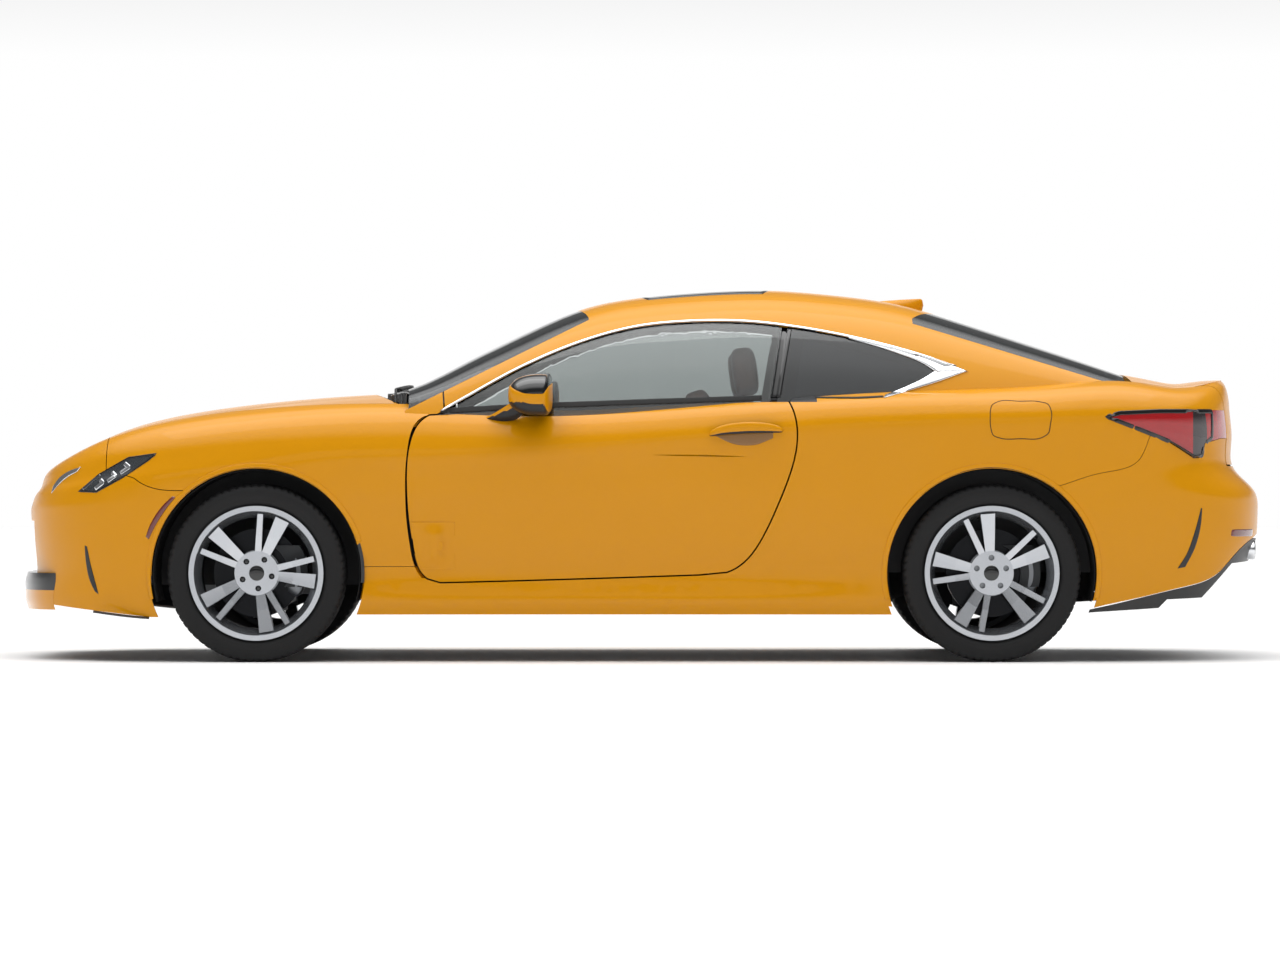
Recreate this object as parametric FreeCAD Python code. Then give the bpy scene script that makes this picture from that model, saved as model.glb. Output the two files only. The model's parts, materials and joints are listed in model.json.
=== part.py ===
import FreeCAD, Part
import math
import os

V = FreeCAD.Vector

# Frame: X runs to the rear, Y to the right, Z up. The origin is on the ground,
# half way along the body, on the centre plane. Millimetres throughout.

# Overall sizes
body_length = 4706.0
half_width = 920.0
roof_height = 1402.0
wheelbase = 2730.0
front_overhang = 926.0
track_half = 790.0
seat_gap = 0.3
cut_over = 60.0
front_axle_x = -body_length / 2 + front_overhang
rear_axle_x = front_axle_x + wheelbase

# Reference picture: pixel places of the side plane and of the centre plane
PLUMB_PX = 642.9
FRONT_WHEEL_PX = 256.0
WHEELBASE_PX = 736.1
GROUND_PX = 662.5
ROOF_SIDE_PX = 378.0
CENTRE_GROUND_PX = 654.9
ROOF_CENTRE_PX = 363.4
centre_share = 1.0404
side_run = wheelbase / WHEELBASE_PX
side_rise = roof_height / ROOF_SIDE_PX
centre_run = side_run * centre_share
centre_rise = roof_height / ROOF_CENTRE_PX
plumb_x = front_axle_x + (PLUMB_PX - FRONT_WHEEL_PX) * side_run

# Panels
panel_gap = 6.0
skin_wall = 12.0
side_wall = 30.0
roof_wall = 34.0
hood_wall = 26.0
lid_wall = 30.0
glass_wall = 5.0
sheet_wall = 12.0

# Wheels
tyre_radius = 330.0
tyre_width = 236.0
rim_radius = 250.0
rim_width = 226.0
arch_radius = 389.0
spoke_pairs = 5

# Doors
hinge_back = 100.0
hinge_inboard = 36.0
swing_clear = 5.0
door_opening_deg = 65.0


def side_x(px):
    return plumb_x + (px - PLUMB_PX) * side_run


def side_z(py):
    return (GROUND_PX - py) * side_rise


def centre_x(px):
    return plumb_x + (px - PLUMB_PX) * centre_run


def centre_z(py):
    return (CENTRE_GROUND_PX - py) * centre_rise


def side_point(pair):
    return V(side_x(pair[0]), 0, side_z(pair[1]))


def smooth(pairs):
    """Natural cubic curve through pairs, straight past both ends."""
    xs = [pair[0] for pair in pairs]
    ys = [pair[1] for pair in pairs]
    count = len(xs)
    steps = [xs[i + 1] - xs[i] for i in range(count - 1)]
    rises = [(ys[i + 1] - ys[i]) / steps[i] for i in range(count - 1)]
    middle = [1.0] * count
    right = [0.0] * count
    load = [0.0] * count
    for i in range(1, count - 1):
        factor = steps[i - 1] / middle[i - 1] if i > 1 else 0.0
        middle[i] = 2 * (steps[i - 1] + steps[i]) - factor * right[i - 1]
        right[i] = steps[i]
        load[i] = 6 * (rises[i] - rises[i - 1]) - factor * load[i - 1]
    bend = [0.0] * count
    for i in range(count - 2, 0, -1):
        bend[i] = (load[i] - right[i] * bend[i + 1]) / middle[i]

    def value(x):
        if x <= xs[0]:
            slope = rises[0] - steps[0] * bend[1] / 6
            return ys[0] + slope * (x - xs[0])
        if x >= xs[-1]:
            slope = rises[-1] + steps[-1] * bend[-2] / 6
            return ys[-1] + slope * (x - xs[-1])
        i = max(k for k in range(count - 1) if xs[k] <= x)
        a = (xs[i + 1] - x) / steps[i]
        b = 1 - a
        curve = (a ** 3 - a) * bend[i] + (b ** 3 - b) * bend[i + 1]
        return a * ys[i] + b * ys[i + 1] + curve * steps[i] ** 2 / 6

    return value


def along_wheelbase(shares, size):
    pairs = [(front_axle_x + place * wheelbase, share * size) for place, share in zip(STATION_SHARES, shares)]
    return smooth(pairs)


# Lower body: half widths at nine stations along the wheelbase, row by row from the bottom edge
STATION_SHARES = (-0.30, 0.0, 0.20, 0.40, 0.60, 0.80, 1.0, 1.20, 1.35)
ROW_WIDTH_SHARES = (
    (0.913, 0.935, 0.902, 0.883, 0.883, 0.904, 0.935, 0.908, 0.859),
    (0.943, 0.963, 0.943, 0.937, 0.939, 0.952, 0.970, 0.937, 0.878),
    (0.957, 0.973, 0.933, 0.924, 0.926, 0.948, 0.983, 0.948, 0.889),
    (0.965, 0.984, 0.943, 0.937, 0.941, 0.967, 0.995, 0.961, 0.900),
    (0.967, 0.991, 0.959, 0.953, 0.959, 0.983, 1.000, 0.972, 0.911),
    (0.967, 0.993, 0.966, 0.960, 0.966, 0.987, 1.000, 0.975, 0.914),
    (0.965, 0.993, 0.970, 0.965, 0.971, 0.989, 1.000, 0.976, 0.915),
    (0.959, 0.990, 0.974, 0.973, 0.977, 0.993, 1.000, 0.978, 0.915),
    (0.943, 0.978, 0.976, 0.978, 0.983, 0.993, 0.998, 0.976, 0.911),
)
SEAM_WIDTH_SHARES = (0.761, 0.761, 0.799, 0.815, 0.826, 0.832, 0.810, 0.777, 0.750)
CREASE_HEIGHT_SHARES = (0.470, 0.560, 0.5535, 0.5685, 0.598, 0.6305, 0.648, 0.656, 0.660)
CROWN_SHARES = (0.018, 0.0214, 0.0357, 0.057, 0.050, 0.039, 0.0314, 0.027, 0.0107)
LOW_ROW_HEIGHT_SHARES = (0.100, 0.153, 0.214, 0.300, 0.399)
RISE_TO_CREASE_SHARES = (0.20, 0.42, 0.75, 1.0)
NOSE_SETBACK_SHARES = (0.018, 0.010, 0.016, 0.013, 0.008, 0.009, 0.0115, 0.0175, 0.025)
TAIL_SETBACK_SHARES = (0.086, 0.0587, 0.033, 0.0064, 0.0, 0.0055, 0.038, 0.0433, 0.0463)
SEAM_SETBACK_SHARES = (0.0655, 0.059)
SHOULDER_SHARES = ((0.08, 0.32), (0.25, 0.62), (0.55, 0.86), (1.0, 1.0))
corner_front_share = 0.64
corner_rear_share = 0.72
nose_power = 2.9
tail_power = 3.6
CORNER_STEPS = 9
SIDE_STEPS = 14

TOP_LINE_PX = (
    (70, 465), (110, 440), (150, 424), (210, 411), (290, 401), (370, 395), (500, 391), (700, 386),
    (900, 380), (1040, 376), (1111, 374), (1150, 381), (1172, 384), (1195, 381.5), (1219, 380.5),
)
top_line = smooth([(centre_x(px), centre_z(py)) for px, py in TOP_LINE_PX])
crown_drop = along_wheelbase(CROWN_SHARES, roof_height)
seam_width = along_wheelbase(SEAM_WIDTH_SHARES, half_width)
crease_height = along_wheelbase(CREASE_HEIGHT_SHARES, roof_height)
row_widths = [along_wheelbase(shares, half_width) for shares in ROW_WIDTH_SHARES]
corner_front_x = -corner_front_share * body_length / 2
corner_rear_x = corner_rear_share * body_length / 2


def deck_height(x, y):
    """Height of the bonnet, cowl and deck surface over a plan point."""
    return top_line(x) - crown_drop(x) * (y / seam_width(x)) ** 2


def plan_station(index, nose_x, tail_x, width):
    """Point of a plan contour, from the nose centre round the side to the tail centre."""
    side_last = CORNER_STEPS + SIDE_STEPS
    if index <= CORNER_STEPS:
        turn = math.radians(90) * index / CORNER_STEPS
        lengths = (math.cos(turn) ** nose_power + math.sin(turn) ** nose_power) ** (-1 / nose_power)
        x = corner_front_x - (corner_front_x - nose_x) * lengths * math.cos(turn)
        return x, width(x) * lengths * math.sin(turn)
    if index <= side_last:
        x = corner_front_x + (corner_rear_x - corner_front_x) * (index - CORNER_STEPS) / SIDE_STEPS
        return x, width(x)
    turn = math.radians(90) * (side_last + CORNER_STEPS - index) / CORNER_STEPS
    lengths = (math.cos(turn) ** tail_power + math.sin(turn) ** tail_power) ** (-1 / tail_power)
    x = corner_rear_x + (tail_x - corner_rear_x) * lengths * math.cos(turn)
    return x, width(x) * lengths * math.sin(turn)


def band_column(index):
    """Points of one rib of the lower body, bottom edge first, bonnet seam last."""
    half = body_length / 2
    points = []
    for row, width in enumerate(row_widths):
        nose_x = -half * (1 - NOSE_SETBACK_SHARES[row])
        tail_x = half * (1 - TAIL_SETBACK_SHARES[row])
        x, y = plan_station(index, nose_x, tail_x, width)
        if row < len(LOW_ROW_HEIGHT_SHARES):
            z = LOW_ROW_HEIGHT_SHARES[row] * roof_height
        else:
            base = LOW_ROW_HEIGHT_SHARES[-1] * roof_height
            z = base + (crease_height(x) - base) * RISE_TO_CREASE_SHARES[row - len(LOW_ROW_HEIGHT_SHARES)]
        points.append(V(x, -y, z))
    crease = points[-1]
    nose_x = -half * (1 - SEAM_SETBACK_SHARES[0])
    tail_x = half * (1 - SEAM_SETBACK_SHARES[1])
    x, y = plan_station(index, nose_x, tail_x, seam_width)
    seam = V(x, -y, deck_height(x, y))
    for plan_share, rise_share in SHOULDER_SHARES:
        x = crease.x + (seam.x - crease.x) * plan_share
        y = crease.y + (seam.y - crease.y) * plan_share
        points.append(V(x, y, crease.z + (seam.z - crease.z) * rise_share))
    return points


def basis(knots, degree, index, t):
    """Value of one B-spline basis function."""
    if degree == 0:
        inside = knots[index] <= t < knots[index + 1]
        at_end = t == knots[-1] and knots[index] < t == knots[index + 1]
        return 1.0 if inside or at_end else 0.0
    value = 0.0
    left = knots[index + degree] - knots[index]
    right = knots[index + degree + 1] - knots[index + 1]
    if left > 0:
        value += (t - knots[index]) / left * basis(knots, degree - 1, index, t)
    if right > 0:
        value += (knots[index + degree + 1] - t) / right * basis(knots, degree - 1, index + 1, t)
    return value


def solver(places):
    """Function giving the poles of the natural cubic spline through points at the given parameters."""
    count = len(places)
    size = count + 2
    knots = [places[0]] * 3 + list(places) + [places[-1]] * 3
    rows = [[basis(knots, 3, j, t) for j in range(size)] for t in places]
    first, second, third = places[0], places[1], places[2]
    start = [0.0] * size
    start[0] = -1 / (second - first)
    start[1] = 1 / (second - first) + 1 / (third - first)
    start[2] = -1 / (third - first)
    last, before, third_last = places[-1], places[-2], places[-3]
    finish = [0.0] * size
    finish[-1] = -1 / (last - before)
    finish[-2] = 1 / (last - before) + 1 / (last - third_last)
    finish[-3] = -1 / (last - third_last)
    matrix = [rows[0], start] + rows[1:-1] + [finish, rows[-1]]
    factors = []
    for k in range(size):
        for i in range(k + 1, min(k + 4, size)):
            factor = matrix[i][k] / matrix[k][k]
            factors.append((i, k, factor))
            if factor:
                matrix[i] = [a - factor * b for a, b in zip(matrix[i], matrix[k])]

    def poles(points):
        load = [points[0], V(0, 0, 0)] + list(points[1:-1]) + [V(0, 0, 0), points[-1]]
        for i, k, factor in factors:
            load[i] = load[i] - load[k] * factor
        found = [V(0, 0, 0)] * size
        for i in range(size - 1, -1, -1):
            rest = load[i]
            for j in range(i + 1, min(i + 4, size)):
                rest = rest - found[j] * matrix[i][j]
            found[i] = rest * (1 / matrix[i][i])
        return found

    return poles


def chord_places(lines):
    """Shared parameters of several point rows: their mean chord lengths."""
    count = len(lines[0])
    steps = [sum((line[i + 1] - line[i]).Length for line in lines) for i in range(count - 1)]
    total = sum(steps)
    return [sum(steps[:i]) / total for i in range(count)]


def grid_surface(grid):
    """Smooth surface through a grid of points."""
    turned = [list(line) for line in zip(*grid)]
    u_places = chord_places(turned)
    v_places = chord_places(grid)
    across = solver(v_places)
    along = solver(u_places)
    half_way = [across(line) for line in grid]
    poles = [list(line) for line in zip(*[along(list(line)) for line in zip(*half_way)])]
    u_mults = [4] + [1] * (len(u_places) - 2) + [4]
    v_mults = [4] + [1] * (len(v_places) - 2) + [4]
    surface = Part.BSplineSurface()
    surface.buildFromPolesMultsKnots(poles, u_mults, v_mults, u_places, v_places, False, False, 3, 3)
    return surface


def inner_grid(grid, depth, flat_ends):
    """The grid moved inwards along its own normals; flat_ends keeps the end columns in the centre plane."""
    rows = len(grid)
    cols = len(grid[0])
    moved = []
    for i in range(rows):
        line = []
        for j in range(cols):
            along = grid[min(i + 1, rows - 1)][j] - grid[max(i - 1, 0)][j]
            across = grid[i][min(j + 1, cols - 1)] - grid[i][max(j - 1, 0)]
            normal = along.cross(across)
            normal.normalize()
            if flat_ends and i in (0, rows - 1):
                normal.y = 0
                normal.normalize()
            line.append(grid[i][j] - normal * depth)
        moved.append(line)
    return moved


def closed_between(outer, inner):
    """Solid between two surfaces with matching parameters."""
    faces = [outer.toShape(), inner.toShape()]
    u0, u1, v0, v1 = outer.bounds()
    for name, place in (("uIso", u0), ("uIso", u1), ("vIso", v0), ("vIso", v1)):
        first = getattr(outer, name)(place).toShape()
        second = getattr(inner, name)(place).toShape()
        faces.append(Part.makeRuledSurface(first, second))
    shell = Part.Compound(faces)
    shell.sewShape()
    body = Part.Solid(shell.Shells[0])
    if body.Volume < 0:
        body.reverse()
    return body


def prism(wire_face, start, end):
    face = wire_face.copy()
    face.translate(V(0, start, 0))
    return face.extrude(V(0, end - start, 0))


def outline(*groups):
    """Side outline face: each group of side points is a straight edge or one smooth curve."""
    edges = []
    for group in groups:
        points = [point if isinstance(point, V) else side_point(point) for point in group]
        if len(points) == 2:
            edges.append(Part.makeLine(points[0], points[1]))
        else:
            curve = Part.BSplineCurve()
            curve.interpolate(points)
            edges.append(curve.toShape())
    return Part.Face(Part.Wire(edges))


GROWN_POINTS = 40


def grown(face, distance):
    """Outline face moved out by a distance, its curves laid again as splines."""
    edges = []
    for edge in face.makeOffset2D(distance).OuterWire.OrderedEdges:
        if edge.Curve.TypeId in ("Part::GeomLine", "Part::GeomCircle"):
            edges.append(edge)
        else:
            curve = Part.BSplineCurve()
            curve.interpolate(edge.discretize(GROWN_POINTS))
            edges.append(curve.toShape())
    return Part.Face(Part.Wire(edges))


def box(x0, x1, y0, y1, z0, z1):
    return Part.makeBox(x1 - x0, y1 - y0, z1 - z0, V(x0, y0, z0))


def mirrored(shape):
    return shape.mirror(V(0, 0, 0), V(0, 1, 0))


columns = CORNER_STEPS + SIDE_STEPS + CORNER_STEPS + 1
band_grid = [band_column(i) for i in range(columns)]
band_surface = grid_surface(band_grid)


def band_shell(depth):
    return closed_between(band_surface, grid_surface(inner_grid(band_grid, depth, True)))


# Cabin: arch sections at eight stations, over the belt
CABIN_STATION_SHARES = (-0.05, 0.20, 0.40, 0.60, 0.80, 1.0, 1.20, 1.34)
CABIN_WIDTH_SHARES = (0.870, 0.900, 0.912, 0.918, 0.912, 0.890, 0.840, 0.800)
belt_base_share = 0.650
cabin_lean = 0.42
cabin_side_power = 4.0
cabin_roof_power = 5.0
roof_crown_share = 0.010
FLANK_SHARES = (-0.30, -0.12, 0.05, 0.22, 0.40, 0.56, 0.70, 0.81, 0.89)
ROOF_SHARES = (0.80, 0.60, 0.40, 0.20, 0.0)
CABIN_STEPS = 30
CABIN_TOP_PX = (
    (372, 401.5), (430, 383), (470, 362), (510, 342), (550, 323), (590, 308), (630, 300), (690, 294),
    (770, 291.5), (830, 296), (900, 306.5), (950, 321), (1010, 340.5), (1070, 360.5), (1125, 380),
)
cabin_top = smooth([(centre_x(px), centre_z(py)) for px, py in CABIN_TOP_PX])
cabin_width = smooth(
    [(front_axle_x + place * wheelbase, share * half_width)
     for place, share in zip(CABIN_STATION_SHARES, CABIN_WIDTH_SHARES)]
)
belt_base = belt_base_share * roof_height
cabin_front_x = centre_x(CABIN_TOP_PX[0][0])
cabin_rear_x = centre_x(CABIN_TOP_PX[-1][0])


def cabin_flank(x, rise):
    """Half width of the cabin at a share of its height over the belt base."""
    tall = cabin_top(x) - belt_base
    width = cabin_width(x) - cabin_lean * rise * tall
    if rise <= 0:
        return width
    return width * (1 - rise ** cabin_roof_power) ** (1 / cabin_side_power)


def cabin_section(x):
    """Points of one cabin section from the left belt over the roof to the right belt."""
    tall = cabin_top(x) - belt_base
    half = [V(x, -cabin_flank(x, rise), belt_base + rise * tall) for rise in FLANK_SHARES]
    edge = -half[-1].y
    edge_rise = FLANK_SHARES[-1]
    for share in ROOF_SHARES:
        y = edge * share
        rise = 1.0
        for _ in range(4):
            width = cabin_width(x) - cabin_lean * rise * tall
            rise = (1 - (y / width) ** cabin_side_power) ** (1 / cabin_roof_power)
        drop = roof_crown_share * roof_height * ((y / edge) ** 2)
        half.append(V(x, -y, belt_base + rise * tall - drop * (1 - share)))
    return half + [V(point.x, -point.y, point.z) for point in reversed(half[:-1])]


cabin_grid = [
    cabin_section(cabin_front_x + (cabin_rear_x - cabin_front_x) * i / CABIN_STEPS) for i in range(CABIN_STEPS + 1)
]
cabin_surface = grid_surface(cabin_grid)


def cabin_shell(start, depth):
    """Cabin skin between two depths below its outer surface."""
    top = grid_surface(inner_grid(cabin_grid, start, False)) if start else cabin_surface
    return closed_between(top, grid_surface(inner_grid(cabin_grid, depth, False)))


DECK_STEPS = 24
DECK_ACROSS = 9
DECK_WIDE_SHARE = 1.02


def deck_shell(start_x, end_x, depth):
    """Slab under the deck surface, as wide as the seam and a little more."""
    steps = DECK_STEPS
    across = DECK_ACROSS
    grid = []
    for i in range(steps + 1):
        x = start_x + (end_x - start_x) * i / steps
        wide = seam_width(x) * DECK_WIDE_SHARE
        places = [wide * (2 * j / across - 1) for j in range(across + 1)]
        grid.append([V(x, y, deck_height(x, y)) for y in places])
    return closed_between(grid_surface(grid), grid_surface(inner_grid(grid, depth, False)))


left_out = half_width + 4 * cut_over
tall_out = roof_height + 4 * cut_over
long_out = body_length / 2 + 4 * cut_over
jamb_inner = half_width - 148.0
door_inner = half_width - 130.0
housing_outer = half_width - 40.0
block_inner = 0.66 * half_width
lamp_inner = half_width - 315.0
roof_half = 0.57 * half_width


def left_prism(face):
    return prism(face, -left_out, cut_over)


def through_prism(face):
    return prism(face, -left_out, left_out)


def plan_face(groups):
    """Plan outline on the ground from X, Y pairs: two points are a line, more are one curve."""
    edges = []
    for group in groups:
        places = [V(x, y, 0) for x, y in group]
        if len(places) == 2:
            edges.append(Part.makeLine(places[0], places[1]))
        else:
            curve = Part.BSplineCurve()
            curve.interpolate(places)
            edges.append(curve.toShape())
    return Part.Face(Part.Wire(edges))


def upright(face):
    return face.extrude(V(0, 0, tall_out))


def chain(*groups):
    """Closed side outline: each group is a run of picture places, joined end to end by straight lines."""
    closed = []
    for i, run in enumerate(groups):
        if len(run) > 1:
            closed.append(run)
        following = groups[(i + 1) % len(groups)]
        if run[-1] != following[0]:
            closed.append((run[-1], following[0]))
    return outline(*closed)


def corners(*places):
    """Closed polygon through picture places."""
    return chain(*[(place,) for place in places])


def fused(*shapes):
    body = shapes[0]
    for shape in shapes[1:]:
        body = body.fuse(shape)
    return body


def largest(shape):
    return max(shape.Solids, key=lambda solid: solid.Volume)


def both_sides(shape):
    """A piece and its mirror image joined across the centre plane."""
    return shape.fuse(mirrored(shape))


def side_block():
    """Solid between the left flank and an upright plane, for closed sections and doors."""
    outer = band_surface.copy()
    u_first = band_surface.parameter(band_grid[CORNER_STEPS][4])[0]
    u_last = band_surface.parameter(band_grid[CORNER_STEPS + SIDE_STEPS][4])[0]
    outer.segment(u_first, u_last, 0, 1)
    u0, u1, v0, v1 = outer.bounds()
    grid = []
    for i in range(SIDE_STEPS + 1):
        u = u0 + (u1 - u0) * i / SIDE_STEPS
        line = [outer.value(u, v0 + (v1 - v0) * j / SIDE_STEPS) for j in range(SIDE_STEPS + 1)]
        grid.append([V(point.x, -block_inner, point.z) for point in line])
    return closed_between(outer, grid_surface(grid))


def wheel_hole(axle_x, radius, inner_y):
    return Part.makeCylinder(radius, left_out - inner_y, V(axle_x, -left_out, tyre_radius), V(0, 1, 0))


# Side outlines, in picture places
DOOR_FRONT_PX = (
    (429, 415.8), (418, 425), (411, 441), (407.5, 462), (407, 487), (409, 520), (413.5, 550), (418.5, 568),
    (427, 578.5),
)
DOOR_BOTTOM_PX = ((440, 582.4), (560, 579.2), (700, 574.6))
DOOR_REAR_PX = ((727, 572), (745, 561), (760, 541), (776, 508), (789, 475), (796, 446), (796, 425), (788.5, 401.5))
BELT_PX = ((788.5, 401.5), (640, 406), (520, 411), (429, 415.8))
DLO_TOP_PX = (
    (434, 415.0), (470, 395.5), (511, 372.5), (548, 354.5), (585, 340), (637, 326), (694, 320.5), (752, 321.2),
    (800, 327), (860, 338.5), (915, 353), (952, 365),
)
DLO_TAIL_PX = ((914, 386), (886, 397.3), (788.5, 401.5))
DLO_HIDDEN_PX = ((788.5, 440), (434, 440))
POST_TOP_PX = (787, 300)
POST_FOOT_PX = (768.5, 402)
POST_WIDTH_PX = 4.5
POST_FACE_PX = ((787, 290), (768.5, 402), (766.5, 420), (808.5, 420), (794.5, 402), (813, 290))
WING_HORN_PX = ((404, 200), (426.4, 200), (444.4, 430), (404, 430))
SCREEN_EDGE_PX = ((360, 433), (436, 394.5), (585, 319.5), (640, 291))
BACKLIGHT_EDGE_PX = ((880, 308), (915, 321.5), (1110, 381.5), (1180, 403))
BUMPER_SEAM_PX = ((133.5, 478), (153, 488), (173, 490.5), (225, 491))
HEADLAMP_PX = ((74, 492), (96, 474.5), (127, 457), (156, 453.5), (147, 461), (122, 478), (94, 493))
TAIL_SEAM_PX = ((1150, 436), (1146, 447), (1139, 460), (1101, 473), (1068, 483), (1030, 495))
TAIL_LAMP_PX = (
    (1106, 416), (1118, 413), (1160, 410.5), (1216, 409.8), (1300, 409.8), (1300, 438), (1226, 438),
    (1208, 443), (1205, 457), (1196, 458), (1170, 442), (1148, 433),
)
BUMPER_FOOT_PX = ((150, 618.5), (40, 606.5), (10, 603))
TAIL_FOOT_PX = ((1085, 611), (1140, 598.6), (1183, 588.6), (1222, 575), (1236, 561), (1262, 540))
ARCH_FRONT_PX = 360.5
ARCH_REAR_PX = 892.0
SILL_SEAM_PX = (566.7, 553.0)
SILL_FOOT_PX = 615.6
WING_ENDS_PX = (104, 437)
WING_NOSE_FOOT_PX = 469
WING_FOOT_PX = ((385, 540), (385, 510))
BUMPER_REAR_PX = 225
BUMPER_NOSE_PX = 10
HEADER_PX = (574, 588)
BACKLIGHT_HEADER_PX = (941, 916)
SKY_PX = 200
COWL_END_PX = 470
SHELF_FRONT_PX = 1000
QUARTER_END_PX = 1150
TAIL_PANEL_PX = 1190
HOOD_FRONT_PX = 60
LID_REAR_PX = 1225
HOOD_REAR_PX = (379, 398)
LID_FRONT_PX = 1115
SCREEN_FOOT_PX = 395.5
A_PILLAR_FRONT_PX = ((200, 200), (428, 200), (446, 430), (200, 430))
UNDER_BELT_PX = ((200, 412), (790, 401), (790, 560), (200, 560))
JAMB_PX = ((740, 562), (838, 562), (838, 404), (768, 404))
SILL_TOP_PX = ((417, SILL_SEAM_PX[0]), (753, 554.4))
QUARTER_FRONT_PX = ((753, 565), (753, 430))
QUARTER_STEP_PX = (792, 400)
QUARTER_FOOT_PX = (1030, 565)
BEHIND_PX = ((1300, 370), (1300, 436))
OVER_PX = 370.0
LID_FOOT_PX = 464.5

door_face = chain(DOOR_FRONT_PX, DOOR_BOTTOM_PX, DOOR_REAR_PX, BELT_PX)
dlo_face = chain(DLO_TOP_PX, DLO_TAIL_PX[:1], DLO_TAIL_PX[1:], *[(place,) for place in DLO_HIDDEN_PX])

skin = band_shell(skin_wall)
flank = band_shell(side_wall)
block = side_block()
cabin = cabin_shell(0, roof_wall)
lite = cabin_shell(glass_wall, 2 * glass_wall)

arch_front = wheel_hole(front_axle_x, arch_radius, jamb_inner)
arch_rear = wheel_hole(rear_axle_x, arch_radius, jamb_inner)


def housing_room(axle_x):
    """Room of a left wheel housing, which the panels round it keep clear of."""
    radius = arch_radius + sheet_wall + seat_gap
    reach = housing_outer + seat_gap
    return Part.makeCylinder(radius, reach - block_inner, V(axle_x, -reach, tyre_radius), V(0, 1, 0))


housing_front = housing_room(front_axle_x)
housing_rear = housing_room(rear_axle_x)
door_axis_x = side_x(DOOR_FRONT_PX[4][0]) + hinge_back
door_axis_y = half_width - 56.0
door_room = left_prism(grown(door_face, panel_gap))


def door_sweep():
    """Room that the front edge of the left door sweeps as it opens: its curve turned about the hinge line."""
    places = []
    for px, py in DOOR_FRONT_PX:
        radius = math.hypot(door_axis_x - side_x(px), hinge_inboard) + swing_clear
        places.append(V(door_axis_x - radius, -door_axis_y, side_z(py)))
    curve = Part.BSplineCurve()
    curve.interpolate(places)
    top, foot = places[0], places[-1]
    axis_top = V(door_axis_x, top.y, top.z)
    axis_foot = V(door_axis_x, foot.y, foot.z)
    edges = [curve.toShape(), Part.makeLine(foot, axis_foot), Part.makeLine(axis_foot, axis_top)]
    edges.append(Part.makeLine(axis_top, top))
    return Part.Face(Part.Wire(edges)).revolve(axis_foot, V(0, 0, 1), 360)


swing_room = door_sweep()
headlamp_face = corners(*HEADLAMP_PX)
tail_lamp_face = corners(*TAIL_LAMP_PX)

# Door hinges: a bracket on the hinge pillar with a pin, and a knuckle on the door
hinge_heights = (430.0, 690.0)
hinge_pin_radius = 8.0
hinge_knuckle_radius = 14.0
hinge_knuckle_height = 30.0
hinge_leaf = 8.0
hinge_pocket = 16.0
hinge_skin_gap = 2.0


def hinge_leaves(z):
    """Fixed half of one door hinge, on the left."""
    reach = door_axis_y - jamb_inner
    half = hinge_knuckle_height / 2 + seat_gap
    parts = []
    for base in (z - half - hinge_leaf, z + half):
        arm = box(
            door_axis_x - hinge_knuckle_radius, door_axis_x + hinge_knuckle_radius,
            -door_axis_y, -door_axis_y + reach, base, base + hinge_leaf,
        )
        parts.append(arm)
        parts.append(Part.makeCylinder(hinge_knuckle_radius, hinge_leaf, V(door_axis_x, -door_axis_y, base)))
    pin_height = 2 * half + 2 * hinge_leaf
    parts.append(Part.makeCylinder(hinge_pin_radius, pin_height, V(door_axis_x, -door_axis_y, z - pin_height / 2)))
    return fused(*parts)


def hinge_knuckle(z):
    """Door half of one hinge, on the left."""
    base = z - hinge_knuckle_height / 2
    barrel = Part.makeCylinder(hinge_knuckle_radius, hinge_knuckle_height, V(door_axis_x, -door_axis_y, base))
    lug = box(
        door_axis_x, door_axis_x + 2 * hinge_pocket, -door_axis_y - hinge_knuckle_radius,
        -door_axis_y + hinge_knuckle_radius, base, base + hinge_knuckle_height,
    )
    bore_radius = hinge_pin_radius + seat_gap
    bore = Part.makeCylinder(bore_radius, hinge_knuckle_height, V(door_axis_x, -door_axis_y, base))
    return barrel.fuse(lug).cut(bore)


def hinge_room(z):
    """Pocket in the door round one hinge."""
    half = hinge_knuckle_height / 2 + hinge_leaf + swing_clear
    return box(
        door_axis_x - 2 * hinge_back, door_axis_x + hinge_pocket, -door_axis_y - hinge_knuckle_radius - hinge_skin_gap,
        0, z - half, z + half,
    )


def nose_relief():
    """What the front inner edge of the door loses so that it clears the jamb while it swings."""
    reach = door_axis_y - jamb_inner - swing_clear
    front_x = door_axis_x - 2 * hinge_back
    corner = box(front_x, door_axis_x, -door_axis_y, 0, 0, tall_out)
    corner = corner.cut(Part.makeCylinder(reach, tall_out, V(door_axis_x, -door_axis_y, 0)))
    wall = box(front_x, door_axis_x, -door_axis_y + reach, 0, 0, tall_out)
    wall.rotate(V(door_axis_x, -door_axis_y, 0), V(0, 0, 1), door_opening_deg)
    return corner.fuse(wall)


def make_door():
    """Left door: outer skin on a deep frame, with hinge pockets and a slot for the glass."""
    body = block.common(left_prism(door_face)).common(box(-long_out, long_out, -left_out, -door_inner, 0, tall_out))
    for z in hinge_heights:
        body = body.cut(hinge_room(z)).fuse(hinge_knuckle(z))
    body = body.cut(nose_relief())
    slot = cabin_shell(glass_wall - seat_gap, 2 * glass_wall + seat_gap)
    body = body.cut(slot)
    return largest(body)


glass_dip_px = 8.0
GLASS_FRONT_PX = 380.0
GLASS_TOP_PX = 250.0
GLASS_FOOT_PX = 440.0
GLASS_CORNER_PX = 425.0


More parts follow.
